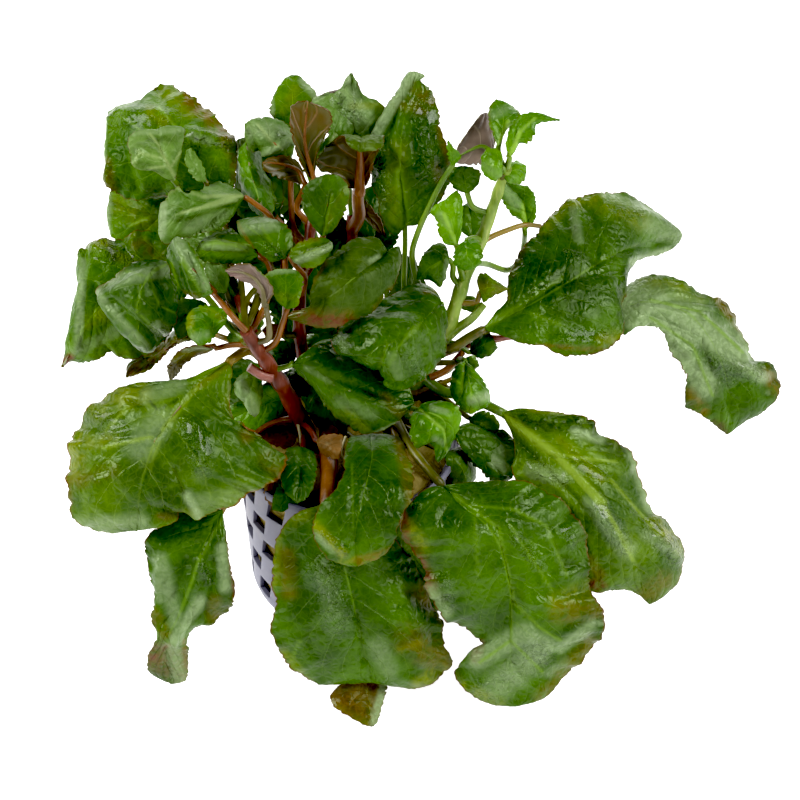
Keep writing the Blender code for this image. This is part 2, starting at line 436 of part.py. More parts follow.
        right=[(458, 246, 95.3), (454, 255, 94.5), (455, 264, 93), (461, 269, 92)]),
    "leaf_centre_right_upper": dict(
        stem="stem_right", at=0.54, rows=4,
        petiole=[(453, 277, 82.6), (453, 266, 85.3)],
        midrib=[(449, 259, 87.6), (441, 261, 88.3), (429, 268, 87.5), (417, 279, 84.5)],
        left=[(446, 274, 85.3), (444, 281, 83.3), (439, 287, 82.3), (431, 280, 83.7)],
        right=[(446, 246, 89), (436, 244, 89.5), (427, 250, 89.3), (420, 262, 88.2)]),
    "leaf_right_olive": dict(
        stem="stem_right", at=0.49, rows=4,
        petiole=[(476, 302, 77.3)],
        midrib=[(480, 292, 79.8), (486, 288, 81.5), (496, 287, 82), (508, 289, 80.5)],
        left=[(477, 278, 82.5), (484, 273, 84.7), (496, 281, 83.3)],
        right=[(484, 302, 77.7), (490, 297, 79.2), (499, 293, 80)]),
    "leaf_right_tiny": dict(
        stem="stem_right", at=0.33, rows=3,
        petiole=[(452, 343, 67)],
        midrib=[(470, 353, 64.5), (481, 346, 67.5), (494, 340, 69)],
        left=[(472, 342, 67), (479, 334, 68.5), (488, 332, 69.5)],
        right=[(480, 358, 64), (491, 355, 65), (497, 348, 66.7)]),
    "leaf_right_round": dict(
        stem="stem_right", at=0.24, rows=5,
        petiole=[(445, 372, 59.5), (458, 360, 64)],
        midrib=[(465, 360, 67.5), (468, 375, 68.5), (471, 392, 66.5), (471, 414, 60.5)],
        left=[(474, 370, 68), (484, 381, 66.5), (490, 394, 64), (486, 406, 61.5)],
        right=[(456, 366, 67.5), (451, 380, 66.5), (452, 395, 64), (459, 408, 61)]),
    "leaf_right_bright": dict(
        stem="stem_right", at=0.12, rows=6,
        petiole=[(408, 407, 56.5)],
        midrib=[(415, 409, 59.5), (428, 412, 63), (443, 419, 62.7), (447, 435, 59), (438, 462, 51.5)],
        left=[(425, 403, 63.5), (440, 401, 64.5), (455, 406, 64.2), (461, 416, 62.3), (458, 430, 59.3),
              (451, 445, 56), (444, 456, 53)],
        right=[(410, 420, 58.5), (410, 436, 57.5), (418, 447, 56.3), (428, 443, 57), (434, 447, 56),
               (435, 456, 53.5)]),
    "leaf_crown_grey": dict(
        stem="stem_left", at=0.45, rows=5,
        petiole=[(269, 375, 63.5), (262, 364, 66.2)],
        midrib=[(256, 368, 65.5), (252, 383, 64.5), (251, 396, 62.5), (255, 417, 56.5)],
        left=[(261, 379, 63.3), (263, 392, 61.5), (260, 404, 59.3)],
        right=[(243, 371, 64.5), (236, 382, 63), (235, 392, 62), (245, 404, 59.5), (251, 413, 57.7)]),
    "leaf_crown_green": dict(
        stem="stem_left", at=0.08, rows=5,
        petiole=[],
        midrib=[(303, 447, 51.5), (301, 462, 53.8), (299, 482, 53), (297, 503, 50.6)],
        left=[(314, 453, 52.5), (316, 473, 53.5), (313, 488, 52.8), (306, 499, 51.6)],
        right=[(289, 448, 53), (284, 460, 54), (281, 475, 53.5), (285, 492, 52.3)]),
    "leaf_crown_dead": dict(
        stem="stem_left", at=0.16, rows=3,
        petiole=[(311, 431, 53)],
        midrib=[(316, 441, 54.5), (327, 445, 56), (341, 450, 55.5)],
        left=[(323, 436, 56), (334, 434, 57), (343, 437, 57)],
        right=[(321, 452, 53.5), (329, 457, 53.7), (339, 458, 54.3)]),
}

BROWN_LEAVES = ("leaf_top_brown_upright", "leaf_top_brown_low", "leaf_top_brown_folded", "leaf_curled_grey",
                "leaf_crown_dead", "leaf_front_lowest")


def clear_scene():
    """Remove whatever the opened file holds."""
    for thing in list(bpy.data.objects):
        bpy.data.objects.remove(thing, do_unlink=True)


def plain_material(name, colour, roughness=0.4):
    """A Principled material of one colour."""
    material = bpy.data.materials.new(name)
    material.use_nodes = True
    shader = material.node_tree.nodes["Principled BSDF"]
    shader.inputs["Base Color"].default_value = colour
    shader.inputs["Roughness"].default_value = roughness
    shader.inputs["Metallic"].default_value = 0.0
    return material


def spot(column, row, height):
    """The point in space, in mm, that the picture shows at a pixel, at a height above the floor."""
    forward = Vector((0.0, math.cos(VIEW_ELEVATION), -math.sin(VIEW_ELEVATION)))
    upward = Vector((0.0, math.sin(VIEW_ELEVATION), math.cos(VIEW_ELEVATION)))
    lens = VIEW_AIM - forward * VIEW_DISTANCE
    ray = forward * VIEW_DISTANCE + upward * ((PICTURE_CENTRE - row) * MM_PER_PIXEL)
    ray.x += (column - PICTURE_CENTRE) * MM_PER_PIXEL
    return lens + ray * ((height - lens.z) / ray.z)


def smooth_path(points, places):
    """Points on a smooth curve through the given ones, at places from 0 to 1 of its chord length."""
    knots = [0.0]
    for before, after in zip(points, points[1:]):
        knots.append(knots[-1] + (after - before).length)
    knots = [knot / knots[-1] for knot in knots]
    slopes = []
    for index in range(len(points)):
        low = max(index - 1, 0)
        high = min(index + 1, len(points) - 1)
        slopes.append((points[high] - points[low]) / (knots[high] - knots[low]))
    found = []
    for place in places:
        index = 0
        while index < len(points) - 2 and place > knots[index + 1]:
            index += 1
        span = knots[index + 1] - knots[index]
        part = min(max((place - knots[index]) / span, 0.0), 1.0)
        square = part * part
        cube = square * part
        found.append(points[index] * (2 * cube - 3 * square + 1)
                     + slopes[index] * span * (cube - 2 * square + part)
                     + points[index + 1] * (3 * square - 2 * cube)
                     + slopes[index + 1] * span * (cube - square))
    return found


def stem_point(name, place):
    """The centre and radius of a stem at a place from 0 to 1, in mm."""
    stem = STEMS[name]
    centre = smooth_path([spot(*each) for each in stem["path"]], [place])[0]
    low, high = stem["radii"]
    return centre, low + (high - low) * place


def make_stem(name, collection):
    """A tapering tube along the stem's route."""
    stem = STEMS[name]
    places = [step / STEM_STEPS for step in range(STEM_STEPS + 1)]
    places.insert(1, 0.03)
    points = smooth_path([spot(*each) for each in stem["path"]], places)
    curve = bpy.data.curves.new(name, "CURVE")
    curve.dimensions = "3D"
    curve.bevel_depth = MM
    curve.bevel_resolution = 2
    curve.use_fill_caps = True
    spline = curve.splines.new("POLY")
    spline.points.add(len(points) - 1)
    low, high = stem["radii"]
    for target, point, place in zip(spline.points, points, places):
        target.co = (*(point * MM), 1.0)
        target.radius = low + (high - low) * place
    made = bpy.data.objects.new(name, curve)
    curve.materials.append(plain_material(name + "_skin", stem["colour"]))
    collection.objects.link(made)


def margin_path(points, base, tip, base_half):
    """One margin, from beside the base of the blade to beside its tip."""
    first = base + (points[0] - base).normalized() * base_half
    last = tip + (points[-1] - tip).normalized() * TIP_HALF_WIDTH
    return [first] + points + [last]


def leaf_rows(leaf):
    """Rows of (right margin, midrib, left margin) from the stem to the tip, and the petiole's row count."""
    centre, radius = stem_point(leaf["stem"], leaf["at"])
    midrib = [spot(*each) for each in leaf["midrib"]]
    stalk = [spot(*each) for each in leaf["petiole"]] + [midrib[0]]
    half = leaf.get("petiole_width", 1.8) / 2
    start = centre + (stalk[0] - centre).normalized() * (radius + GAP + half)
    stalk.insert(0, start)
    left = margin_path([spot(*each) for each in leaf["left"]], midrib[0], midrib[-1], half)
    right = margin_path([spot(*each) for each in leaf["right"]], midrib[0], midrib[-1], half)
    places = [step / leaf["rows"] for step in range(leaf["rows"] + 1)]
    blade = list(zip(smooth_path(right, places), smooth_path(midrib, places), smooth_path(left, places)))
    side = (blade[0][2] - blade[0][0]).normalized()
    stalk_steps = 1 + len(leaf["petiole"])
    rows = []
    stalk_points = smooth_path(stalk, [step / stalk_steps for step in range(stalk_steps + 1)])
    for step in range(stalk_steps):
        along = (stalk_points[step + 1] - stalk_points[step]).normalized()
        across = (side - along * side.dot(along)).normalized() * half
        rows.append((stalk_points[step] - across, stalk_points[step], stalk_points[step] + across))
    return rows + blade, stalk_steps


def make_leaf(name, collection):
    """A flat grid bent into the leaf, then given its thickness."""
    leaf = LEAVES[name]
    rows, stalk_steps = leaf_rows(leaf)
    shape = bmesh.new()
    bmesh.ops.create_grid(shape, x_segments=len(rows) - 1, y_segments=2, size=1.0)
    thick = []
    for vertex in shape.verts:
        row = round((vertex.co.x + 1) / 2 * (len(rows) - 1))
        across = vertex.co.y
        right, middle, left = rows[row]
        edge = left if across > 0 else right
        vertex.co = (middle + (edge - middle) * abs(across)) * MM
        if row < stalk_steps:
            thick.append(vertex.index)
    mesh = bpy.data.meshes.new(name)
    shape.to_mesh(mesh)
    shape.free()
    made = bpy.data.objects.new(name, mesh)
    collection.objects.link(made)
    stalk = made.vertex_groups.new(name="petiole")
    stalk.add(thick, 1.0, "REPLACE")
    solid = made.modifiers.new("thickness", "SOLIDIFY")
    solid.thickness = PETIOLE_THICKNESS * MM
    solid.offset = 0.0
    solid.vertex_group = "petiole"
    solid.thickness_vertex_group = BLADE_THICKNESS / PETIOLE_THICKNESS
    colour = BROWN if name in BROWN_LEAVES else GREEN
    if name.startswith("shoot"):
        colour = BRIGHT_GREEN
    mesh.materials.append(plain_material(name + "_skin", colour, 0.3))


def turned(name, profile, sides, collection):
    """A mesh object turned about Z from a profile of (radius, height) in mm, top to bottom."""
    mesh = bpy.data.meshes.new(name + "_profile")
    mesh.from_pydata([(radius * MM, 0.0, height * MM) for radius, height in profile],
                     [(index, index + 1) for index in range(len(profile) - 1)], [])
    source = bpy.data.objects.new(name + "_profile", mesh)
    collection.objects.link(source)
    screw = source.modifiers.new("turn", "SCREW")
    screw.steps = sides
    screw.render_steps = sides
    screw.use_merge_vertices = True
    screw.merge_threshold = 0.00001
    bpy.context.view_layer.update()
    shell = bpy.data.meshes.new_from_object(source.evaluated_get(bpy.context.evaluated_depsgraph_get()))
    bpy.data.objects.remove(source, do_unlink=True)
    made = bpy.data.objects.new(name, shell)
    shell.name = name
    collection.objects.link(made)
    return made


def wall_radius(height):
    """The pot's outer radius at a height above its rounded foot, in mm."""
    part = (height - WINDOW_LOWEST) / (POT_HEIGHT - WINDOW_LOWEST)
    return POT_FOOT_RADIUS + (POT_TOP_RADIUS - POT_FOOT_RADIUS) * part


def make_pot(collection):
    """The net pot: a turned shell, its window faces taken out, then given its wall."""
    levels = []
    for row in range(WINDOW_ROWS):
        low = WINDOW_LOWEST + row * WINDOW_PITCH
        levels += [low, low + WINDOW_HEIGHT]
    profile = [(POT_RIM_RADIUS, POT_HEIGHT), (POT_RIM_RADIUS, POT_HEIGHT - POT_RIM_HEIGHT)]
    profile += [(wall_radius(level), level) for level in reversed(levels)]
    profile += [(23.0, 2.6), (21.6, 0.7), (POT_BASE_RADIUS, 0.0), (0.0, 0.0)]
    made = turned("net_pot", profile, POT_SIDES, collection)
    shape = bmesh.new()
    shape.from_mesh(made.data)
    windows = []
    for face in shape.faces:
        middle = face.calc_center_median() / MM
        band = (middle.z - WINDOW_LOWEST) / WINDOW_PITCH
        in_band = 0.0 < band < WINDOW_ROWS and band % 1.0 < WINDOW_HEIGHT / WINDOW_PITCH
        if in_band and math.hypot(middle.x, middle.y) > POT_BASE_RADIUS:
            turn = math.atan2(middle.y, middle.x) / (2 * math.pi) * POT_SIDES
            if (math.floor(turn) + math.floor(band)) % 2 == 0:
                windows.append(face)
    bmesh.ops.delete(shape, geom=windows, context="FACES")
    for vertex in shape.verts:
        turn = WINDOW_SLANT * vertex.co.z / MM
        x, y = vertex.co.x, vertex.co.y
        vertex.co.x = x * math.cos(turn) - y * math.sin(turn)
        vertex.co.y = x * math.sin(turn) + y * math.cos(turn)
    shape.to_mesh(made.data)
    shape.free()
    wall = made.modifiers.new("wall", "SOLIDIFY")
    wall.thickness = POT_WALL * MM
    wall.offset = -1.0
    made.data.materials.append(plain_material("pot_plastic", POT_GREY, 0.35))


def make_medium(collection):
    """The plug of mineral wool that fills the pot up to a little below its rim."""
    inset = POT_WALL + GAP + 0.25
    profile = [(0.0, MEDIUM_TOP), (wall_radius(MEDIUM_TOP) - inset, MEDIUM_TOP - 0.5),
               (wall_radius(WINDOW_LOWEST) - inset, WINDOW_LOWEST),
               (POT_BASE_RADIUS - 1.0, MEDIUM_BOTTOM + 0.4),
               (POT_BASE_RADIUS - 3.0, MEDIUM_BOTTOM), (0.0, MEDIUM_BOTTOM)]
    made = turned("growing_medium", profile, MEDIUM_SIDES, collection)
    made.data.materials.append(plain_material("mineral_wool", WOOL_BROWN, 0.9))


clear_scene()
plant = bpy.data.collections.new("wavy_cardinal_flower")
bpy.context.scene.collection.children.link(plant)
make_pot(plant)
make_medium(plant)
for stem_name in STEMS:
    make_stem(stem_name, plant)
for leaf_name in LEAVES:
    make_leaf(leaf_name, plant)
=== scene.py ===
# Wavy cardinal flower: an aquarium plant with ruffled glossy leaves, growing from a small lattice net pot.
import math

import bpy
import numpy as np
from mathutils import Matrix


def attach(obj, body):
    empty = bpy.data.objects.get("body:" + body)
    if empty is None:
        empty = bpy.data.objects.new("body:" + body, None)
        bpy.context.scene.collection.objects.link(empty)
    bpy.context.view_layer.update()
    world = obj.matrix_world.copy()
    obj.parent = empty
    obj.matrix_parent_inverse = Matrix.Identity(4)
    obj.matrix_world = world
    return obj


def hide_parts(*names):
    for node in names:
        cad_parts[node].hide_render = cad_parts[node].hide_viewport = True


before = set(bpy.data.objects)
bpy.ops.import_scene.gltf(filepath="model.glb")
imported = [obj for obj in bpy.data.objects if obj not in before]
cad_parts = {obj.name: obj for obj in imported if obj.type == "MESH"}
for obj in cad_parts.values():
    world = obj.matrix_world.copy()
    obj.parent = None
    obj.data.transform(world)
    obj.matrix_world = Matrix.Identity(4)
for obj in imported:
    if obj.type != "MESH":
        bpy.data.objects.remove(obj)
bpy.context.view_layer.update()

# The photograph's view: a long lens 42 degrees above level; lengths in mm, the picture's middle in pixels
view = {"elevation": 42.0, "distance": 750.0, "aim": (13.0, 29.3, 32.5), "lens": 135.0, "sensor": 36.0,
        "mmPerPixel": 0.25, "middle": 400}


def viewAxes():
    # where the camera is, and its directions forward and upward
    tilt = math.radians(view["elevation"])
    forward = np.array((0.0, math.cos(tilt), -math.sin(tilt)))
    upward = np.array((0.0, math.sin(tilt), math.cos(tilt)))
    return np.array(view["aim"]) - forward * view["distance"], forward, upward


def spot(column, row, height):
    # where a pixel of the photograph lies, at a height above the floor, in mm
    eye, forward, upward = viewAxes()
    ray = forward * view["distance"] + upward * ((view["middle"] - row) * view["mmPerPixel"])
    ray[0] += (column - view["middle"]) * view["mmPerPixel"]
    return eye + ray * ((height - eye[2]) / ray[2])


def pixelsOf(points):
    # the photograph's pixels that show these points
    eye, forward, upward = viewAxes()
    ray = points - eye
    scale = view["distance"] / view["mmPerPixel"] / (ray @ forward)
    return view["middle"] + ray[..., 0] * scale, view["middle"] - (ray @ upward) * scale


def spots(listed):
    return np.array([spot(*each) for each in listed])


def smoothPath(points, places):
    # points on a smooth curve through the given ones, at places from 0 to 1 of its chord length
    points = np.asarray(points, float)
    steps = np.linalg.norm(np.diff(points, axis=0), axis=1)
    knots = np.concatenate(([0.0], np.cumsum(steps)))
    knots /= knots[-1]
    count = len(points)
    low = np.maximum(np.arange(count) - 1, 0)
    high = np.minimum(np.arange(count) + 1, count - 1)
    slopes = (points[high] - points[low]) / (knots[high] - knots[low])[:, None]
    index = np.clip(np.searchsorted(knots, places, side="right") - 1, 0, count - 2)
    span = knots[index + 1] - knots[index]
    part = np.clip((places - knots[index]) / span, 0, 1)[:, None]
    span = span[:, None]
    square = part ** 2
    cube = part ** 3
    return (points[index] * (2 * cube - 3 * square + 1) + slopes[index] * span * (cube - 2 * square + part)
            + points[index + 1] * (3 * square - 2 * cube) + slopes[index + 1] * span * (cube - square))


def unit(vectors):
    length = np.linalg.norm(vectors, axis=-1, keepdims=True)
    return vectors / np.maximum(length, 1e-9)


# Every stem: spots (pixel column, pixel row, height in mm) from root to top, and its two radii in mm
stems = {
    "stem_left": dict(
        path=[(308, 440, 44.4), (306, 433, 46.5), (301, 421, 50.5), (293, 405, 57), (283, 387, 64),
              (272, 370, 70), (262, 355, 76), (253, 342, 81), (246, 331, 85)],
        radii=(2.3, 1.5), look="red"),
    "stem_middle": dict(
        path=[(330, 424, 44.4), (329, 418, 46.2), (314, 392, 52), (302, 350, 65), (299, 318, 76),
              (302, 280, 82), (309, 240, 89), (314, 205, 95)],
        radii=(1.8, 1.2), look="red"),
    "stem_back": dict(
        path=[(352, 421, 44.4), (352, 415, 46.2), (351, 380, 52), (350, 330, 63), (350, 285, 72),
              (352, 240, 81), (352, 215, 86.5)],
        radii=(1.7, 1.3), look="red"),
    "stem_right": dict(
        path=[(391, 430, 44.4), (392, 424, 46.4), (402, 408, 50), (422, 375, 59), (446, 332, 70),
              (457, 301, 77), (467, 272, 83), (481, 241, 90), (489, 218, 96), (496, 198, 102),
              (502, 180, 108), (507, 168, 112)],
        radii=(2.2, 1.1), look="stemGreen"),
}

# Every leaf: its name, its look, the stem it grows on and how far up, then its petiole, midrib and two margins
# in the same spots; left and right are the hands of someone who walks up the midrib. Folds and marks are
# strokes between two pixels, with a width in pixels and a height in mm or a strength.
# the shade marks are mostly painted shade, and the pale marks are painted sheen
leaves = {}
innerLeaves = {}


def grow(name, look, stem, at, **given):
    # names of CAD nodes have an underscore, and those of the small half-hidden leaves have none
    kept = leaves if "_" in name else innerLeaves
    kept[name] = dict(look=look, stem=stem, at=at, **given)


grow("leaf_left_high", "fresh", "stem_left", 0.64, under="olive", stalkLook="olive",
    petiole=[(244, 314, 79), (236, 290, 81.5), (231, 258, 86), (226, 225, 88.5)],
    midrib=[(218, 190, 97), (200, 176, 101), (178, 160, 103.5), (150, 138, 106), (125, 119, 106), (108, 112, 103)],
    left=[(190, 191, 97), (160, 197, 93), (140, 200, 92), (118, 196, 92), (105, 183, 94), (103, 170, 96),
        (107, 155, 98), (109, 125, 102)],
    right=[(232, 190, 99), (236, 165, 102), (237, 148, 104), (228, 130, 106), (202, 102, 108), (184, 92, 109),
        (172, 84, 109), (160, 85, 108), (150, 97, 107), (133, 102, 105), (120, 108, 104)],
    folds=[(118, 115, 168, 120, 7, 1.2), (150, 140, 192, 152, 6, -1.2), (195, 137, 226, 142, 6, 1.5),
        (160, 90, 172, 128, 4, -0.8), (215, 160, 228, 185, 5, 0.8), (112, 120, 108, 180, 4, 1),
        (125, 150, 140, 190, 5, -0.9)],
    marks=dict(stain=[(185, 98, 230, 136, 7, 0.9), (207, 116, 213, 126, 8, 0.6), (232, 150, 234, 180, 4, 0.7),
        (215, 115, 235, 160, 7, 0.6), (106, 162, 112, 188, 6, 0.6)], yellow=[(165, 92, 188, 112, 9, 0.5),
        (150, 112, 165, 122, 7, 0.5)], wrinkle=[(118, 118, 168, 118, 12, 0.75), (190, 138, 226, 142, 9, 1)],
        pale=[(193, 136, 210, 142, 5, 0.5), (106, 115, 105, 162, 2, 0.6), (113, 108, 150, 99, 2, 0.4)],
        shade=[(150, 187, 172, 198, 9, 0.7), (118, 182, 150, 190, 8, 0.4), (200, 158, 225, 185, 12, 0.35)],
        vein=[(159, 108, 176, 128, 1.7, 0.7)]))
grow("leaf_left_high_inner", "grey", "stem_left", 1,
    petiole=[(236, 300, 84), (214, 262, 84), (198, 225, 86.5), (187, 203, 92)],
    midrib=[(175, 181, 103), (169, 168, 106.5), (162, 151, 109), (157, 131, 110)],
    left=[(166, 178, 104), (152, 170, 106), (134, 168, 106), (131, 155, 108), (130, 137, 109.5)],
    right=[(178, 168, 105), (181, 150, 108), (183, 129, 110)],
    folds=[(176, 180, 160, 148, 3, -0.8), (140, 150, 165, 160, 6, 0.8), (135, 133, 180, 131, 3, 1.2)],
    marks=dict(vein=[(176, 180, 160, 150, 2.2, 0.9), (140, 152, 133, 165, 1.4, 0.7), (140, 153, 160, 158, 1.3, 0.6),
        (163, 152, 150, 134, 1.3, 0.8), (168, 166, 150, 168, 1.3, 0.7), (170, 168, 180, 152, 1.2, 0.7)],
        pale=[(134, 134, 180, 130, 3, 0.5)], shade=[(136, 150, 150, 146, 6, 0.4), (150, 142, 176, 138, 5, 0.5),
        (140, 165, 160, 170, 5, 0.5)]))
grow("leaf_left_high_under", "fresh", "stem_left", 0.62, under="mauve", stalkLook="rust",
    petiole=[(240, 330, 73), (215, 270, 78.5), (205, 235, 83)],
    midrib=[(185, 213, 86), (160, 214, 85.5), (135, 216, 84), (107, 214, 81)],
    left=[(175, 228, 83), (130, 242, 78.5), (112, 238, 78)],
    right=[(180, 200, 87), (150, 192, 87), (125, 187, 86), (110, 193, 84)],
    folds=[(112, 200, 150, 212, 5, -0.8), (130, 226, 150, 220, 4, 0.7)],
    marks=dict(pale=[(108, 195, 107, 232, 4, 0.9)], yellow=[(120, 205, 150, 222, 12, 0.4)],
        vein=[(130, 226, 148, 218, 1.5, 0.5)]))
grow("leaf_left_folded", "grey", "stem_middle", 0.62, stalkLook="rust",
    petiole=[(283, 289, 79.7), (283, 262, 85), (278, 236, 91), (270, 216, 96.5), (258, 206, 98.5)],
    midrib=[(244, 196, 100), (218, 202, 101), (192, 210, 101), (172, 218, 99), (159, 228, 96)],
    left=[(228, 222, 96), (218, 230, 95), (190, 236, 95), (175, 240, 95), (163, 243, 94)],
    right=[(222, 182, 102), (208, 185, 102.5), (197, 193, 102.5), (187, 194, 103), (178, 186, 103), (168, 196, 101),
        (163, 208, 99)],
    folds=[(242, 196, 178, 216, 4, 1.2), (225, 208, 195, 237, 3, -0.8), (205, 198, 180, 188, 3, 0.8),
        (164, 205, 162, 232, 3, 1), (190, 205, 172, 232, 3, -0.7)],
    marks=dict(pale=[(164, 205, 162, 234, 4, 1), (188, 228, 222, 214, 6, 0.45), (200, 185, 225, 195, 6, 0.4)],
        vein=[(242, 196, 203, 197, 2, 0.7), (236, 200, 182, 213, 1.6, 0.6), (203, 197, 178, 188, 1.6, 0.5)],
        wrinkle=[(198, 238, 228, 220, 8, 0.9)], shade=[(172, 214, 198, 224, 7, 0.3)]))
grow("leaf_left_broad", "fresh", "stem_left", 0.78, stalkLook="rust", petiole=[(232, 329, 75.5), (210, 300, 78)],
    midrib=[(190, 283, 80), (160, 272, 81.5), (130, 280, 80.5), (100, 305, 77), (78, 340, 70), (62, 367, 62)],
    left=[(180, 310, 74), (165, 340, 68), (140, 358, 65), (122, 358, 65.5), (109, 352, 67), (96, 360, 65),
        (83, 363, 63.5), (70, 361, 62.5)],
    right=[(183, 255, 86), (158, 234, 88), (135, 231, 88), (117, 239, 86), (100, 239, 86), (78, 250, 83), (77, 270, 79),
        (75, 312, 72)],
    folds=[(82, 255, 100, 302, 4, -1.1), (92, 270, 75, 345, 6, 1.4), (95, 246, 110, 258, 4, 0.9),
        (120, 240, 135, 262, 5, -0.8)],
    marks=dict(pale=[(83, 262, 78, 348, 4.5, 0.8), (78, 350, 122, 328, 7, 0.45)], yellow=[(88, 244, 106, 244, 6, 0.6),
        (90, 322, 106, 314, 9, 0.4), (115, 255, 135, 262, 7, 0.4)], wrinkle=[(90, 246, 128, 262, 12, 1)],
        stain=[(133, 240, 157, 256, 9, 0.5)], red=[(62, 366, 71, 356, 4, 0.9)], shade=[(98, 284, 106, 302, 8, 0.4)]))
grow("leaf_left_shiny", "deep", "stem_left", 0.89, petiole=[(234, 332, 80.5), (212, 303, 84), (186, 271, 88)],
    midrib=[(168, 263, 90), (150, 275, 90), (138, 300, 87.5), (137, 326, 81), (144, 352, 71.5)],
    left=[(170, 278, 86.5), (179, 292, 84), (178, 310, 80), (172, 328, 77), (153, 350, 72)],
    right=[(156, 260, 91), (137, 261, 91), (105, 282, 86), (97, 292, 83), (101, 305, 81), (113, 322, 77.5),
        (137, 348, 72.5)],
    folds=[(165, 266, 105, 298, 5, 1.2), (105, 303, 147, 347, 5, 1.3), (115, 300, 150, 335, 4, -1),
        (150, 280, 160, 306, 2, -0.6), (160, 306, 177, 314, 2, -0.5), (141, 285, 137, 312, 2, -0.5),
        (141, 315, 162, 337, 2.5, -0.6), (158, 326, 168, 332, 4, 0.7)],
    marks=dict(pale=[(112, 281, 165, 270, 7, 0.6), (105, 303, 147, 347, 4, 0.6), (158, 326, 169, 332, 6, 0.7),
        (98, 292, 104, 301, 4, 0.7)], vein=[(150, 280, 160, 306, 1.8, 0.9), (160, 306, 177, 314, 1.5, 0.8),
        (141, 285, 137, 312, 1.5, 0.7), (141, 315, 162, 337, 1.5, 0.7), (127, 272, 145, 276, 1.4, 0.5)],
        shade=[(128, 302, 152, 306, 10, 0.4)], wrinkle=[(150, 326, 168, 334, 6, 0.8)]))
grow("leaf_left_pointed", "deep", "stem_left", 1, stalkLook="rust", petiole=[(233, 317, 88.5), (224, 306, 90)],
    midrib=[(213, 293, 91.5), (196, 275, 94), (184, 258, 96.5), (177, 237, 98)],
    left=[(200, 298, 88.5), (185, 294, 88), (173, 280, 90.5), (166, 262, 93), (169, 247, 95)],
    right=[(203, 267, 95.5), (195, 254, 97), (187, 242, 98.5)],
    folds=[(178, 240, 196, 290, 4, 1.2), (187, 255, 206, 292, 3, -0.8), (170, 265, 180, 292, 3, -0.7)],
    marks=dict(pale=[(178, 242, 190, 262, 6, 0.8), (190, 262, 206, 286, 6, 0.6)], vein=[(172, 262, 180, 290, 1.5, 0.7),
        (182, 262, 200, 290, 1.5, 0.7)], stain=[(178, 293, 197, 298, 5, 0.6)], shade=[(178, 275, 190, 286, 6, 0.4)]))
grow("leaf_left_round", "bright", "stem_left", 0.95, petiole=[(238, 322, 83.4)],
    midrib=[(229, 310, 86), (215, 318, 85.5), (202, 326, 84.5), (189, 336, 82)],
    left=[(225, 323, 83.6), (214, 336, 81.8), (208, 343, 81), (199, 345, 80.5)],
    right=[(208, 306, 86.5), (198, 307, 85.5), (188, 314, 84.5), (186, 323, 83.5)],
    folds=[(225, 315, 198, 325, 3, -0.7), (195, 332, 205, 340, 4, 0.7)],
    marks=dict(yellow=[(190, 315, 190, 338, 5, 0.7), (203, 308, 222, 318, 4, 0.5)], pale=[(193, 338, 206, 334, 4, 0.4)],
        shade=[(210, 325, 216, 334, 5, 0.3)]))
grow("leaf_left_brown_edge", "yellow", "stem_left", 0.84, under="olive", stalkLook="olive",
    petiole=[(238, 343, 77), (222, 337, 77)],
    midrib=[(205, 331, 75.5), (180, 338, 69.5), (155, 353, 63), (137, 368, 59), (126, 377, 57)],
    left=[(190, 338, 72), (177, 343, 68), (160, 359, 62), (146, 372, 58.5), (135, 375, 57)],
    right=[(190, 322, 72.5), (165, 338, 64.5), (129, 363, 58)], folds=[(195, 335, 140, 368, 4, -0.8)],
    marks=dict(stain=[(128, 374, 170, 346, 9, 1), (170, 346, 188, 335, 6, 0.8)], yellow=[(143, 369, 154, 365, 5, 0.5)]))
grow("leaf_left_sickle", "brown", "stem_left", 0.87, under="mauve", stalkLook="rust", petiole=[(232, 345, 79)],
    midrib=[(214, 349, 77.5), (196, 350, 77), (182, 358, 75), (173, 370, 71), (170, 381, 67)],
    left=[(205, 353, 75.8), (192, 358, 74.5), (182, 367, 72), (176, 376, 69)],
    right=[(198, 345, 79.2), (180, 351, 77.5), (168, 365, 72.5)],
    marks=dict(pale=[(184, 349, 212, 347, 3, 0.6)], yellow=[(175, 360, 190, 352, 3, 0.5)]))
grow("leaf_curled_grey", "grey", "stem_left", 0.9, under="mauve", stalkLook="dusky",
    petiole=[(268, 339, 82.5), (269, 325, 86), (267, 312, 90)],
    midrib=[(266, 304, 92.5), (263, 286, 96.5), (248, 273, 99), (226, 270, 98)],
    left=[(273, 292, 96), (263, 275, 99.5), (249, 264, 101), (236, 265, 100.5)],
    right=[(252, 285, 95.5), (240, 279, 96.5), (230, 275, 96.5)])
grow("leaf_centre_left_small", "fresh", "stem_left", 0.8, stalkLook="rust", petiole=[(275, 343, 80), (283, 322, 86)],
    midrib=[(287, 309, 90), (286, 295, 93), (286, 280, 96), (286, 269, 98)],
    left=[(277, 300, 92), (265, 275, 96), (275, 270, 97)],
    right=[(297, 306, 91), (300, 296, 92.5), (303, 281, 95), (297, 271, 97)],
    marks=dict(pale=[(268, 272, 292, 270, 3, 0.6)], yellow=[(275, 297, 296, 300, 6, 0.3)]))
grow("leaf_centre_left_upper", "fresh", "stem_left", 0.98, stalkLook="rust",
    petiole=[(255, 325, 83.5), (267, 300, 85), (271, 277, 87.3), (267, 262, 89.8)],
    midrib=[(258, 256, 91), (240, 248, 92.5), (222, 245, 93), (206, 247, 92), (196, 251, 90)],
    left=[(248, 262, 89), (215, 263, 89), (202, 260, 89)], right=[(250, 244, 93), (225, 228, 92), (202, 241, 91.5)],
    folds=[(205, 246, 246, 248, 3, 0.9), (212, 238, 250, 244, 3, -0.6)],
    marks=dict(pale=[(205, 246, 246, 248, 4, 0.6)], vein=[(212, 240, 252, 246, 1.5, 0.7)],
        shade=[(200, 259, 232, 262, 4, 0.7)]))
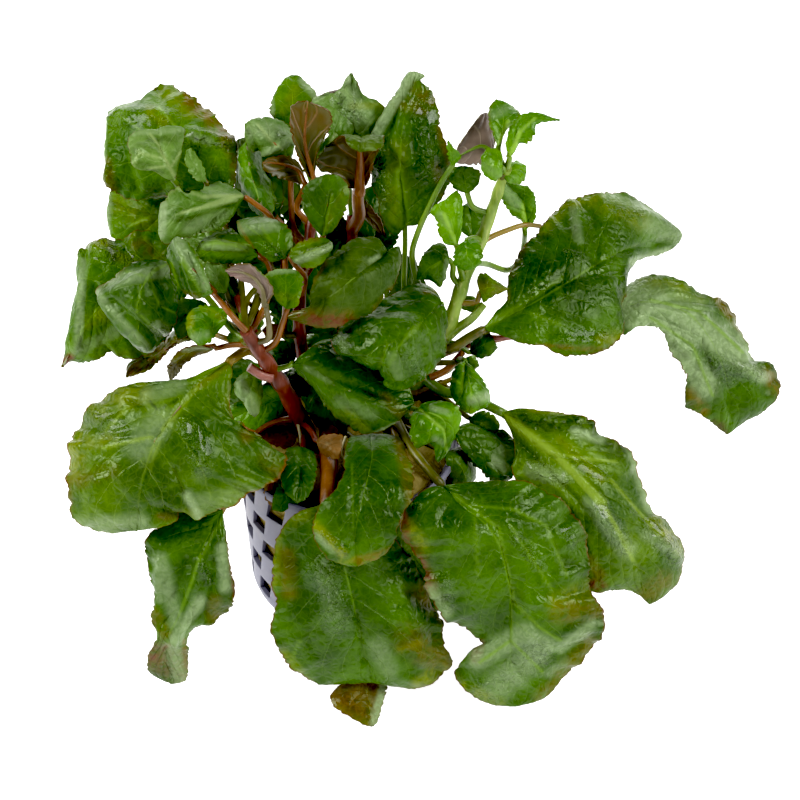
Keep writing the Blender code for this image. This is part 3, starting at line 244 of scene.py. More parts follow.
grow("leaf_centre_left_ridge", "deep", "stem_middle", 0.45, stalkLook="rust",
    petiole=[(285, 333, 71.5), (285, 316, 77), (286, 290, 86)],
    midrib=[(285, 259, 94), (272, 246, 96.5), (258, 234, 98.5), (247, 226, 98.5), (237, 221, 97)],
    left=[(270, 261, 93.5), (247, 240, 95.5), (239, 230, 96)],
    right=[(292, 248, 96), (291, 234, 98), (284, 223, 99.5), (268, 218, 100), (252, 218, 99)],
    folds=[(245, 230, 272, 226, 5, 0.9), (262, 240, 280, 256, 4, -0.7)],
    marks=dict(pale=[(243, 228, 272, 224, 7, 0.6)], wrinkle=[(268, 248, 282, 256, 6, 1)],
        stain=[(238, 223, 257, 254, 1.8, 0.9)], vein=[(262, 228, 270, 240, 1.5, 0.5)]))
grow("leaf_centre_bright", "yellow", "stem_middle", 0.64, stalkLook="rust", petiole=[(305, 277, 89), (296, 266, 93.5)],
    midrib=[(289, 256, 97), (303, 254, 98.5), (318, 250, 99.5), (332, 244, 99)],
    left=[(293, 247, 99), (303, 241, 100), (316, 238, 100), (327, 239, 99.5)],
    right=[(297, 264, 96), (310, 268, 96), (322, 262, 96.5), (330, 252, 98)],
    folds=[(298, 260, 330, 246, 3, 0.9), (295, 248, 325, 244, 3, -0.6)],
    marks=dict(pale=[(298, 261, 331, 246, 3.5, 0.9)], stain=[(291, 241, 316, 238, 4, 0.7)],
        wrinkle=[(305, 253, 329, 246, 5, 0.9)]))
grow("leaf_top_left_grey", "grey", "stem_middle", 0.84, stalkLook="rust",
    petiole=[(294, 228, 89), (291, 196, 94.5), (291, 176, 98.5)],
    midrib=[(291, 160, 103.5), (280, 147, 108.5), (265, 134, 111), (245, 124, 109.5)],
    left=[(278, 158, 105), (262, 153, 105.5), (250, 150, 105.5), (245, 139, 107.5)],
    right=[(294, 146, 107), (294, 131, 109), (284, 122, 111), (268, 118, 111.5), (254, 119, 111)],
    folds=[(258, 126, 276, 146, 2.5, -0.7), (262, 155, 289, 141, 4, 1), (250, 132, 258, 152, 4, -0.8)],
    marks=dict(pale=[(255, 130, 287, 135, 8, 0.6), (262, 156, 290, 140, 4, 0.7)], vein=[(258, 125, 276, 146, 1.7, 0.8)],
        shade=[(248, 132, 258, 152, 4, 0.8)], wrinkle=[(278, 135, 290, 140, 5, 0.8)]))
grow("leaf_top_left_pale", "fresh", "stem_middle", 0.8, stalkLook="rust", petiole=[(296, 240, 85.5), (286, 228, 89)],
    midrib=[(275, 217, 92), (262, 190, 94.5), (251, 162, 98), (243, 138, 101.5)],
    left=[(259, 209, 91), (237, 192, 91.5), (236, 155, 97), (237, 141, 100)],
    right=[(282, 205, 93.5), (283, 190, 95), (278, 172, 97.5), (257, 138, 103)],
    folds=[(248, 150, 256, 190, 5, -0.8), (262, 190, 272, 205, 4, 0.9)],
    marks=dict(pale=[(243, 148, 250, 172, 10, 0.7)], yellow=[(248, 182, 268, 186, 8, 0.5)],
        wrinkle=[(260, 190, 272, 206, 7, 0.8)]))
grow("leaf_top_left_tip", "fresh", "stem_middle", 0.97, petiole=[(313, 187, 96.5), (304, 160, 102)],
    midrib=[(294, 130, 107.5), (293, 110, 111), (292, 90, 113), (292, 75, 113.5)],
    left=[(280, 124, 107.5), (271, 114, 110), (272, 100, 111.5), (285, 79, 113.5)],
    right=[(308, 122, 108), (317, 106, 109.5), (315, 93, 111), (300, 77, 113.5)],
    marks=dict(pale=[(303, 82, 318, 98, 5, 0.9), (272, 98, 273, 114, 2.5, 0.6)], yellow=[(285, 110, 295, 90, 6, 0.4)]))
grow("leaf_top_brown_upright", "deep", "stem_middle", 1, under="olive", stalkLook="rust", petiole=[(314, 192, 100)],
    midrib=[(313, 180, 103.5), (308, 160, 108), (305, 140, 112.5), (306, 120, 117), (308, 101, 121)],
    left=[(316, 166, 106.5), (318, 150, 110.5), (331, 125, 116.5), (331, 113, 119)],
    right=[(304, 170, 106.5), (292, 135, 114), (291, 108, 119), (297, 102, 120.5)])
grow("leaf_top_brown_low", "deep", "stem_middle", 0.92, under="olive", stalkLook="rust",
    petiole=[(297, 209, 94.6), (302, 193, 99)],
    midrib=[(306, 184, 101.5), (297, 171, 103.5), (284, 165, 105.5), (272, 163, 106.5), (262, 163, 107)],
    left=[(301, 166, 103.5), (290, 157, 106), (277, 157, 107.5), (268, 158, 107.5)],
    right=[(300, 184, 101), (272, 175, 104.5), (264, 170, 106)])
grow("leaf_top_brown_folded", "dull", "stem_back", 0.93, under="olive", stalkLook="rust", stalk=3,
    petiole=[(359, 216, 89), (358, 202, 94)],
    midrib=[(358, 189, 98), (360, 172, 102.5), (361, 156, 107), (361, 143, 110.5), (361, 137, 113.2), (361, 144, 114.2),
        (360, 152, 113)],
    left=[(367, 184, 99.5), (377, 152, 110), (384, 137, 115.2), (383, 142, 116), (376, 149, 115.2)],
    right=[(348, 187, 99.5), (335, 175, 102.5), (320, 168, 104.5), (318, 156, 107.5), (336, 138, 112.6),
        (344, 136, 114), (347, 144, 114)])
grow("leaf_top_middle", "grey", "stem_back", 1, under="mauve", petiole=[(350, 197, 90)],
    midrib=[(346, 168, 98.5), (350, 146, 105), (354, 125, 110.5), (354, 105, 114.5), (353, 88, 117.5),
        (351, 73, 119.5)],
    left=[(324, 172, 99.5), (316, 163, 102.5), (320, 148, 107), (328, 136, 110), (322, 118, 112), (312, 101, 112.5),
        (330, 91, 115.5), (342, 84, 118)],
    right=[(374, 160, 100), (384, 140, 106.5), (380, 122, 111.5), (384, 108, 114), (377, 101, 115.5), (364, 95, 117),
        (357, 83, 119)], folds=[(345, 100, 334, 136, 4, -0.9), (345, 95, 372, 122, 7, 0.9), (315, 98, 348, 80, 3, 1.2)],
    marks=dict(pale=[(345, 92, 362, 122, 12, 0.5), (312, 99, 348, 80, 4, 1)], shade=[(350, 80, 358, 95, 6, 0.7)],
        wrinkle=[(340, 96, 356, 116, 10, 0.9)], yellow=[(352, 106, 382, 106, 4, 0.5)],
        vein=[(335, 135, 317, 162, 1.8, 0.7)]))
grow("leaf_top_tall", "deep", "stem_right", 0.16,
    petiole=[(407, 377, 56.5), (409, 352, 62.5), (405, 330, 67.5), (404, 282, 78.5), (405, 250, 87)],
    midrib=[(405, 226, 93), (403, 200, 98.5), (400, 166, 105.5), (402, 132, 111.5), (408, 100, 117.5),
        (416, 72, 122.5)],
    left=[(395, 236, 91), (384, 222, 94), (371, 175, 101.3), (369, 150, 106), (372, 132, 109.5), (397, 92, 118.5),
        (409, 73, 122)],
    right=[(418, 224, 93.5), (432, 211, 96), (446, 190, 100), (452, 163, 104.5), (449, 150, 107.5), (443, 138, 110.5),
        (436, 103, 117), (429, 88, 119.5), (420, 80, 121.5), (424, 76, 122.5)],
    folds=[(411, 75, 376, 134, 4, 1.8), (401, 90, 386, 142, 5, -1.4), (425, 115, 430, 168, 7, 1.2),
        (400, 175, 407, 232, 3, -0.9), (412, 120, 416, 165, 4, -0.8), (440, 125, 447, 160, 4, 0.9),
        (392, 140, 400, 156, 4, 0.9)],
    marks=dict(pale=[(411, 75, 374, 136, 5.5, 1), (410, 74, 424, 76, 3.5, 1)], vein=[(399, 172, 407, 238, 4.5, 0.9)],
        wrinkle=[(425, 108, 428, 172, 13, 1), (380, 160, 386, 198, 7, 0.8)], shade=[(398, 166, 427, 190, 9, 0.5)],
        stain=[(412, 86, 434, 102, 7, 0.6), (441, 130, 451, 162, 5, 0.9), (395, 103, 425, 108, 8, 0.4),
        (436, 165, 442, 195, 5, 0.5)], yellow=[(398, 150, 396, 215, 12, 0.3)]))
grow("leaf_centre_heart", "deep", "stem_middle", 0.7, stalkLook="rust", petiole=[(314, 262, 89.5), (320, 248, 93.5)],
    midrib=[(322, 237, 97), (324, 215, 102.5), (328, 195, 107), (327, 174, 111)],
    left=[(308, 219, 101), (302, 205, 103.5), (303, 190, 106.5), (312, 180, 109)],
    right=[(333, 230, 99.5), (343, 215, 102.5), (349, 198, 105.5), (347, 185, 108), (338, 176, 110.5)],
    folds=[(323, 235, 331, 192, 2.5, -0.5)],
    marks=dict(shade=[(315, 195, 330, 202, 12, 0.5)], yellow=[(325, 228, 345, 190, 4, 0.3)],
        vein=[(323, 236, 332, 195, 1.8, 0.6)]))
grow("leaf_centre_dull", "dull", "stem_right", 0.1, shape=dict(quilt=0.1, ruffle=0.03),
    petiole=[(394, 390, 53), (395, 352, 61), (389, 315, 71), (386, 283, 80), (386, 262, 87.5)],
    midrib=[(388, 252, 92.5), (368, 268, 94.5), (344, 287, 92.5), (317, 304, 88), (285, 317, 83)],
    left=[(399, 247, 92), (402, 262, 90), (397, 278, 88.5), (384, 298, 86.5), (368, 314, 84.5), (325, 328, 82.5)],
    right=[(376, 237, 95), (347, 242, 96), (326, 263, 94), (316, 274, 92), (311, 290, 89.5), (307, 308, 86),
        (295, 311, 84)], folds=[(386, 255, 302, 308, 4, -0.6), (330, 262, 365, 255, 8, 0.4)],
    marks=dict(red=[(288, 318, 350, 322, 7, 0.9)], stain=[(296, 312, 348, 314, 6, 0.5), (310, 288, 326, 264, 2.6, 0.6),
        (376, 308, 391, 290, 4, 0.6)], shade=[(330, 280, 370, 270, 16, 0.3), (350, 250, 378, 262, 8, 0.35)],
        pale=[(370, 261, 378, 257, 2.6, 0.7)]))
grow("leaf_centre_quilted", "deep", "stem_right", 0.38, petiole=[(440, 326, 73.2), (441, 313, 76.5)],
    midrib=[(442, 302, 79.5), (424, 320, 82), (402, 343, 81.5), (389, 366, 77), (391, 389, 70)],
    left=[(448, 318, 77), (441, 364, 71), (416, 385, 69.5), (403, 390, 69.5)],
    right=[(430, 285, 82), (408, 286, 83), (380, 301, 82), (343, 323, 79.5), (332, 337, 78), (334, 350, 76.5),
        (350, 360, 75), (367, 366, 73.5), (385, 376, 71), (384, 384, 70)],
    folds=[(362, 325, 410, 330, 9, 1.2), (388, 345, 379, 370, 3, -0.9), (392, 355, 398, 376, 5, 1),
        (337, 336, 345, 350, 4, 1.2), (418, 345, 425, 375, 5, -0.7), (360, 330, 362, 345, 3, -0.7)],
    marks=dict(shade=[(350, 340, 400, 335, 22, 0.45), (400, 360, 430, 350, 16, 0.4), (420, 305, 442, 322, 9, 0.5)],
        pale=[(345, 346, 338, 335, 5, 0.4), (391, 355, 399, 376, 4.5, 0.25)], wrinkle=[(337, 334, 346, 352, 7, 1),
        (405, 355, 420, 375, 8, 0.5)], vein=[(388, 345, 379, 368, 1.7, 0.7)], stain=[(425, 292, 447, 290, 3, 0.6)]))
grow("leaf_front_long", "deep", "stem_left", 0.62, shape=dict(quilt=0.12, ruffle=0.035),
    midrib=[(292, 365, 72.5), (308, 368, 71.5), (330, 380, 69), (360, 396, 66), (390, 405, 63), (414, 403, 61.5)],
    left=[(300, 356, 74), (312, 348, 74), (327, 344, 73), (350, 352, 70.5), (390, 380, 66), (408, 388, 64.5)],
    right=[(298, 373, 69.8), (304, 377, 68.5), (314, 388, 66), (324, 404, 63), (336, 417, 60.5), (362, 433, 57.5),
        (378, 432, 57.5), (396, 422, 59)],
    folds=[(298, 365, 388, 398, 4, -0.8), (305, 374, 346, 406, 7, 0.5), (352, 356, 382, 370, 7, 0.5),
        (340, 398, 352, 412, 4, -0.7)],
    marks=dict(shade=[(335, 352, 382, 376, 12, 0.55), (333, 390, 346, 406, 6, 0.4)], pale=[(306, 368, 330, 382, 3, 0.4),
        (374, 433, 396, 424, 2.5, 0.9), (340, 402, 372, 415, 7, 0.25)], yellow=[(345, 412, 366, 430, 6, 0.35)],
        stain=[(383, 397, 402, 414, 6, 0.45)]))
grow("leaf_front_hanging", "deep", "stem_back", 0.04, shape=dict(quilt=0.06, veinDepth=0.08), petiole=[(362, 424, 51)],
    midrib=[(370, 434, 54), (372, 456, 56), (366, 485, 55.5), (359, 513, 52.5), (355, 543, 46.5), (357, 566, 41.5)],
    left=[(398, 436, 54), (409, 458, 55), (414, 475, 55), (411, 497, 54), (401, 517, 51), (396, 535, 47.5),
        (388, 552, 44), (372, 561, 42)],
    right=[(350, 438, 55.5), (345, 455, 57), (344, 472, 57), (333, 493, 55.5), (320, 505, 54), (314, 525, 50.5),
        (316, 543, 47), (328, 558, 44), (345, 565, 42)],
    folds=[(352, 470, 353, 540, 5, -0.5), (325, 535, 345, 552, 5, 0.8), (395, 460, 400, 520, 6, 0.7)],
    # its first yellow stroke, at the lower left edge, is partly a painted highlight on the lit rim
    marks=dict(stain=[(400, 440, 413, 505, 7, 0.75), (408, 505, 402, 540, 4, 0.5), (358, 561, 396, 550, 5, 0.8)],
        shade=[(365, 460, 385, 510, 22, 0.6), (340, 480, 338, 530, 14, 0.4)], pale=[(317, 535, 332, 551, 3.5, 0.45)],
        yellow=[(316, 525, 345, 556, 5, 0.8), (342, 560, 376, 558, 4, 0.6)], vein=[(352, 465, 353, 530, 1.4, 0.3)],
        wrinkle=[(320, 535, 345, 550, 5, 0.6)]))
grow("leaf_front_largest", "deep", "stem_middle", 0.02, stalkLook="rust", stalk=4.4,
    shape=dict(ruffle=0.022, quilt=0.11), petiole=[(329, 447, 48.8), (329, 468, 50.9), (329, 488, 51.5)],
    midrib=[(328, 503, 51), (335, 530, 46.5), (345, 570, 37.5), (355, 610, 28.5), (365, 650, 18), (372, 682, 9)],
    left=[(350, 508, 50.6), (372, 518, 47), (390, 533, 41.5), (402, 548, 37), (414, 562, 33), (424, 580, 29),
        (432, 602, 24.5), (443, 622, 20.5), (446, 648, 15), (453, 667, 10), (418, 690, 6), (400, 688, 6.5)],
    right=[(300, 512, 50), (284, 526, 46), (276, 541, 42), (272, 585, 33), (276, 603, 29), (271, 625, 25),
        (276, 645, 20), (288, 665, 15), (304, 678, 11), (322, 685, 9)],
    folds=[(350, 560, 362, 660, 4, -0.6), (300, 560, 312, 650, 6, -0.6), (322, 570, 335, 620, 8, 0.8),
        (385, 570, 400, 640, 5, -0.7), (405, 600, 420, 660, 5, 0.8), (375, 640, 390, 668, 7, 0.9),
        (430, 620, 440, 680, 5, -0.6), (400, 675, 435, 685, 5, 0.7)],
    marks=dict(yellow=[(276, 530, 272, 582, 7, 0.6), (290, 520, 332, 500, 9, 0.35), (283, 655, 305, 682, 7, 0.55),
        (418, 682, 445, 668, 7, 0.6), (400, 648, 418, 642, 4, 0.6)], stain=[(288, 555, 290, 592, 9, 0.6),
        (300, 500, 335, 492, 9, 0.5), (410, 640, 446, 660, 17, 0.55), (420, 590, 440, 615, 9, 0.75)],
        shade=[(415, 600, 430, 625, 9, 0.35), (300, 610, 330, 660, 16, 0.45), (290, 560, 305, 600, 8, 0.4),
        (400, 645, 420, 632, 4, 0.5), (360, 615, 385, 640, 16, 0.5), (350, 560, 405, 572, 13, 0.55)],
        red=[(408, 590, 425, 605, 6, 0.25)], pale=[(378, 645, 388, 668, 10, 0.4), (323, 568, 333, 610, 10, 0.2)],
        wrinkle=[(323, 568, 338, 622, 15, 0.9)], vein=[(290, 665, 300, 640, 1.6, 0.5)]))
grow("leaf_front_lowest", "brown", "stem_right", 0.02, under="olive", stalkLook="olive",
    petiole=[(400, 455, 50.5), (405, 478, 51.8), (405, 498, 51), (403, 517, 45), (401, 545, 34.5), (392, 582, 24.5),
        (381, 620, 16.5)], midrib=[(373, 648, 12), (370, 675, 7), (368, 700, 3.8), (373, 726, 1.7)],
    left=[(388, 666, 9), (387, 684, 5.5), (378, 721, 2.2)],
    right=[(345, 680, 8), (331, 696, 5.2), (339, 710, 3.6), (367, 726, 2)],
    marks=dict(shade=[(342, 690, 364, 715, 13, 0.55)], red=[(336, 690, 352, 712, 9, 0.45),
        (335, 700, 347, 695, 6, 0.4)], pale=[(384, 682, 373, 728, 4.5, 1)], yellow=[(340, 707, 366, 723, 4, 0.5),
        (368, 690, 370, 722, 3, 0.4)]))
grow("leaf_low_left", "deep", "stem_left", 0.02, under="mauve", stalkLook="olive",
    petiole=[(300, 448, 48.5), (284, 457, 50.7), (262, 471, 51.6), (240, 489, 50.5)],
    midrib=[(222, 510, 47.5), (205, 543, 42), (192, 580, 34.5), (180, 612, 27), (168, 638, 21), (166, 662, 12.5),
        (172, 684, 5)],
    left=[(228, 552, 40), (230, 570, 35.5), (235, 588, 31), (233, 602, 28), (225, 614, 25), (213, 624, 23),
        (198, 626, 22.5), (188, 636, 20), (188, 655, 13.5), (186, 680, 5.5)],
    right=[(186, 510, 46.2), (167, 518, 45), (152, 532, 43.5), (145, 545, 41.5), (146, 560, 38), (151, 578, 33.5),
        (155, 600, 29), (152, 618, 25.5), (157, 636, 21), (148, 658, 13.5), (149, 672, 9)],
    folds=[(200, 560, 172, 640, 5, 1.3), (185, 560, 165, 622, 5, -0.9), (160, 560, 157, 610, 4, 1),
        (222, 540, 226, 592, 5, 0.9), (212, 560, 205, 610, 4, -0.7), (165, 650, 172, 680, 4, -0.8)],
    marks=dict(pale=[(160, 560, 176, 622, 8, 0.6), (158, 565, 160, 600, 4, 0.6), (200, 600, 175, 640, 6, 0.85),
        (222, 548, 225, 588, 6, 0.75), (172, 652, 180, 678, 9, 0.6)], stain=[(153, 612, 166, 632, 7, 0.6),
        (215, 600, 212, 618, 8, 0.4), (184, 640, 184, 680, 3, 0.8)], red=[(227, 538, 235, 602, 2.2, 0.9),
        (155, 655, 180, 668, 15, 0.55), (150, 660, 168, 645, 3.5, 0.8)], shade=[(165, 535, 205, 525, 9, 0.35),
        (190, 515, 205, 518, 7, 0.7)], vein=[(221, 520, 200, 560, 1.8, 0.5)], wrinkle=[(203, 568, 208, 580, 5, 1)]))
grow("leaf_left_largest", "yellow", "stem_left", 0.7, stalkLook="olive", stalk=2.4, petiole=[(250, 350, 74.5)],
    midrib=[(228, 362, 74.5), (196, 385, 73), (177, 407, 72), (160, 432, 69), (148, 460, 64), (140, 492, 57),
        (138, 530, 47)],
    left=[(232, 370, 73.8), (229, 399, 70.5), (232, 415, 67.5), (240, 428, 65.5), (260, 436, 63), (281, 450, 60),
        (287, 463, 58.5), (278, 478, 57.5), (248, 496, 55), (232, 506, 53), (215, 512, 52), (203, 518, 51),
        (181, 511, 51.5), (177, 520, 50), (160, 527, 49)],
    right=[(208, 370, 74.5), (184, 380, 73.5), (150, 382, 73), (124, 386, 71), (100, 398, 68), (74, 428, 62.5),
        (68, 445, 60), (66, 465, 57), (67, 485, 54), (67, 502, 51), (72, 517, 48), (88, 530, 45.5), (110, 533, 45)],
    folds=[(198, 390, 150, 442, 4, -0.9), (150, 398, 140, 440, 7, 0.8), (193, 425, 200, 468, 7, 1.3),
        (175, 470, 190, 506, 5, -1.2), (90, 410, 132, 400, 8, 0.9), (70, 483, 112, 470, 3, -0.7),
        (130, 402, 150, 412, 2.5, -0.7), (235, 430, 262, 470, 5, -0.8), (110, 440, 150, 436, 3, -0.6),
        (187, 497, 198, 515, 4, 1), (120, 470, 140, 500, 6, 0.6), (95, 500, 120, 518, 5, 0.6)],
    marks=dict(stain=[(230, 364, 197, 388, 4, 0.4), (72, 484, 112, 470, 8, 0.4), (68, 480, 68, 512, 5, 0.6),
        (160, 517, 195, 513, 5, 0.7), (268, 458, 281, 482, 9, 0.45), (245, 437, 262, 425, 7, 0.6)],
        vein=[(197, 388, 163, 430, 2.4, 0.8), (164, 428, 150, 470, 1.3, 0.5), (103, 448, 152, 437, 1.7, 0.8),
        (105, 432, 128, 408, 1.5, 0.7)], shade=[(100, 470, 140, 490, 16, 0.35), (145, 470, 172, 502, 20, 0.65),
        (165, 435, 180, 465, 10, 0.4), (150, 402, 158, 410, 1.6, 0.8), (160, 410, 178, 400, 1.4, 0.8),
        (185, 415, 165, 425, 1.4, 0.6)], yellow=[(100, 405, 140, 392, 14, 0.6), (75, 435, 73, 470, 13, 0.75),
        (70, 445, 112, 440, 7, 0.5)], pale=[(160, 420, 140, 448, 14, 0.5), (150, 395, 178, 385, 9, 0.5),
        (80, 525, 142, 521, 8, 0.55), (187, 495, 199, 515, 5, 1), (200, 502, 240, 495, 9, 0.3)],
        wrinkle=[(192, 425, 202, 468, 11, 1), (98, 415, 118, 432, 12, 0.7)]))
grow("leaf_right_front", "deep", "stem_right", 0.05, stalkLook="bronze", stalk=2.3,
    shape=dict(quilt=0.09, veinDepth=0.14), petiole=[(400, 427, 52.5), (412, 449, 53.6), (428, 470, 52.3)],
    midrib=[(443, 486, 50.3), (465, 509, 48.5), (488, 527, 47), (503, 555, 41), (510, 590, 33), (510, 625, 24),
        (511, 660, 15), (517, 706, 5)],
    left=[(455, 484, 51.5), (510, 480, 52), (531, 483, 51), (548, 491, 49.5), (569, 506, 46), (582, 525, 42),
        (590, 548, 37), (590, 570, 33), (592, 590, 29), (603, 612, 25), (605, 628, 21), (600, 642, 17), (582, 662, 12),
        (561, 681, 8), (545, 698, 5.5)],
    right=[(432, 487, 52.5), (418, 495, 52), (407, 508, 51), (402, 540, 45.5), (413, 550, 42.5), (422, 564, 38.5),
        (426, 586, 33.5), (444, 618, 25), (475, 636, 19.5), (484, 646, 17), (466, 658, 14), (455, 672, 11),
        (459, 684, 8.5), (474, 697, 6), (495, 705, 5)],
    folds=[(455, 495, 498, 528, 2.5, -0.6), (498, 528, 514, 602, 2.2, -0.6), (514, 602, 540, 628, 2.2, -0.6),
        (510, 525, 552, 590, 2.2, -0.5), (545, 525, 566, 575, 2.2, -0.5), (525, 632, 478, 658, 10, 1.4),
        (540, 662, 592, 638, 5, -1.1), (430, 593, 446, 612, 5, 1), (511, 602, 511, 640, 2, -0.5),
        (530, 600, 560, 605, 5, 0.8), (565, 565, 585, 570, 6, -0.9), (474, 515, 478, 575, 4, 0.5),
        (445, 515, 440, 560, 5, -0.5), (505, 668, 540, 690, 6, 0.7), (540, 605, 520, 620, 4, -0.6)],
    marks=dict(red=[(414, 552, 428, 584, 8, 1), (404, 515, 408, 545, 4, 0.7), (481, 644, 476, 658, 5, 1)],
        yellow=[(408, 525, 425, 548, 7, 0.6), (556, 602, 590, 588, 10, 0.55), (465, 686, 500, 703, 6, 0.5)],
        pale=[(525, 632, 478, 658, 11, 0.65), (500, 685, 535, 655, 15, 0.6), (430, 590, 446, 612, 7, 0.7),
        (560, 648, 592, 624, 6, 0.7), (525, 632, 548, 645, 9, 0.7), (548, 672, 565, 660, 5, 0.3)],
        stain=[(560, 612, 600, 608, 12, 0.55), (590, 645, 545, 698, 11, 0.55)], vein=[(455, 495, 498, 528, 2.6, 0.8),
        (498, 528, 514, 602, 2.1, 0.9), (514, 602, 540, 628, 1.8, 0.8), (510, 525, 552, 590, 1.7, 0.7),
        (510, 508, 545, 525, 1.6, 0.7), (545, 525, 566, 575, 1.5, 0.7), (465, 505, 520, 510, 1.5, 0.5),
        (474, 510, 478, 575, 1.5, 0.5), (511, 640, 480, 662, 1.7, 0.9), (511, 640, 542, 672, 1.7, 0.8),
        (511, 602, 511, 640, 1.5, 0.7), (540, 628, 560, 640, 1.5, 0.8)], shade=[(450, 515, 440, 535, 10, 0.35),
        (515, 590, 498, 625, 10, 0.5), (565, 562, 586, 572, 8, 0.6), (465, 488, 520, 500, 11, 0.6),
        (481, 644, 476, 658, 5, 0.5)], wrinkle=[(446, 580, 448, 602, 8, 1), (515, 535, 538, 565, 7, 0.9),
        (490, 690, 540, 655, 16, 0.9), (565, 530, 572, 545, 5, 0.9), (408, 500, 416, 505, 5, 0.8)]))
grow("leaf_right_low", "yellow", "stem_right", 0.22, stalk=2.4, shape=dict(ruffle=0.03),
    petiole=[(442, 391, 58.5), (465, 396, 58.5), (487, 405, 57.5)],
    midrib=[(503, 413, 56.5), (530, 434, 54), (558, 460, 51), (585, 490, 46), (610, 520, 40), (632, 555, 31),
        (650, 604, 17)],
    left=[(517, 409, 57.5), (530, 409, 58), (550, 412, 57.5), (572, 414, 56), (594, 421, 54), (601, 434, 51.5),
        (622, 443, 48.5), (634, 455, 45.5), (638, 472, 42), (650, 508, 35), (664, 518, 32), (676, 530, 29),
        (684, 548, 25), (685, 565, 22), (680, 579, 19.5), (668, 594, 17)],
    right=[(512, 435, 53), (515, 452, 50.5), (512, 470, 48), (525, 492, 44), (545, 515, 40), (562, 540, 35.5),
        (589, 590, 25), (603, 592, 23.5), (618, 590, 22.5), (634, 592, 20.5)],
    folds=[(492, 408, 556, 455, 3.5, 0.9), (556, 455, 602, 502, 3, 0.7), (500, 425, 590, 512, 4, -0.9),
        (520, 415, 625, 488, 4, -0.7), (590, 505, 626, 547, 9, 1.2), (610, 480, 656, 535, 2.5, -0.7),
        (640, 455, 650, 505, 6, 1), (535, 470, 560, 480, 7, 0.9), (655, 535, 678, 558, 6, 0.8)],
    marks=dict(vein=[(492, 408, 556, 455, 5.5, 1), (556, 455, 602, 502, 4.2, 0.95), (602, 502, 632, 560, 2, 0.7),
        (560, 455, 615, 462, 1.6, 0.8), (610, 480, 658, 535, 1.8, 0.8)], pale=[(590, 503, 625, 547, 9, 0.45),
        (634, 452, 650, 508, 7, 1), (532, 472, 560, 478, 8, 0.6), (645, 535, 678, 552, 6, 0.5),
        (575, 432, 600, 440, 5, 0.8)], yellow=[(655, 522, 680, 548, 7, 0.8), (560, 440, 600, 480, 5, 0.4),
        (530, 411, 592, 415, 2.5, 0.7), (594, 422, 596, 428, 3, 0.8)], stain=[(663, 580, 640, 600, 11, 0.5),
        (590, 560, 600, 575, 6, 0.6)], red=[(588, 582, 602, 586, 5, 0.9)], shade=[(585, 428, 622, 448, 12, 0.8),
        (520, 422, 592, 424, 9, 1), (520, 450, 545, 465, 8, 0.5), (610, 560, 640, 575, 12, 0.3)],
        wrinkle=[(652, 530, 680, 558, 13, 1), (600, 512, 625, 545, 10, 1), (575, 460, 600, 475, 6, 0.8),
        (535, 465, 562, 480, 8, 0.8)]))
grow("leaf_right_dark", "deep", "stem_right", 0.08, petiole=[(425, 430, 50), (445, 434, 51)],
    midrib=[(462, 440, 50), (482, 455, 48.5), (503, 475, 45)],
    left=[(500, 430, 50.5), (515, 440, 49), (518, 458, 47), (514, 475, 45.5)],
    right=[(465, 453, 48), (474, 465, 46.5), (497, 478, 44.5)],
    marks=dict(pale=[(484, 454, 504, 468, 6, 0.9), (490, 440, 510, 456, 6, 0.5)], vein=[(463, 440, 488, 455, 2, 0.7)]))
grow("leaf_right_large", "deep", "stem_right", 0.33, stalkLook="bronze", stalk=2.4,
    shape=dict(quilt=0.04, veinDepth=0.1, ruffle=0.03), petiole=[(452, 348, 69), (470, 337, 70.8)],
    midrib=[(484, 329, 71.7), (502, 319, 72.5), (530, 305, 74.5), (560, 287, 76), (595, 265, 76.5), (630, 247, 74.5),
        (658, 238, 71), (682, 235, 67.5)],
    left=[(494, 315, 73.3), (507, 300, 75.5), (509, 277, 77.5), (520, 252, 79.5), (535, 235, 80.5), (562, 204, 82.5),
        (585, 194, 82.5), (605, 192, 82), (628, 193, 80), (676, 228, 70)],
    right=[(512, 339, 70.5), (530, 344, 69), (547, 346, 68), (560, 354, 66), (590, 354, 65), (620, 340, 65),
        (625, 325, 66.5), (623, 308, 68), (627, 290, 69), (629, 272, 69.5), (640, 260, 68), (668, 251, 66),
        (678, 243, 66.5)],
    folds=[(500, 318, 562, 278, 4, -0.9), (573, 205, 577, 240, 5, 1), (590, 212, 596, 262, 5, -0.7),
        (640, 214, 676, 234, 7, 1.2), (620, 252, 665, 241, 4, -0.7), (560, 284, 615, 270, 4, -0.5),
        (545, 312, 600, 335, 4, -0.6), (555, 340, 600, 345, 4, 0.7), (530, 240, 555, 215, 4, 0.6)],
    marks=dict(yellow=[(555, 205, 600, 196, 9, 0.65), (540, 232, 560, 212, 7, 0.5), (600, 200, 640, 220, 12, 0.4),
        (600, 340, 618, 335, 6, 0.5)], shade=[(525, 270, 565, 290, 28, 0.7), (625, 272, 621, 325, 7, 0.7),
        (590, 240, 600, 270, 18, 0.4)], pale=[(605, 194, 660, 216, 5, 0.7), (652, 226, 680, 236, 11, 0.6),
        (573, 210, 577, 238, 4.5, 0.6), (632, 262, 668, 250, 4, 0.9)], vein=[(480, 328, 520, 308, 4.5, 0.9),
        (520, 308, 562, 278, 2.4, 0.55), (530, 313, 560, 325, 1.6, 0.5)], stain=[(524, 248, 512, 275, 4, 0.8),
        (538, 345, 602, 350, 2.5, 0.7), (508, 280, 508, 300, 3, 0.6)], wrinkle=[(612, 205, 640, 218, 10, 0.45),
        (560, 342, 610, 332, 8, 0.5), (568, 254, 578, 256, 5, 0.6)]))
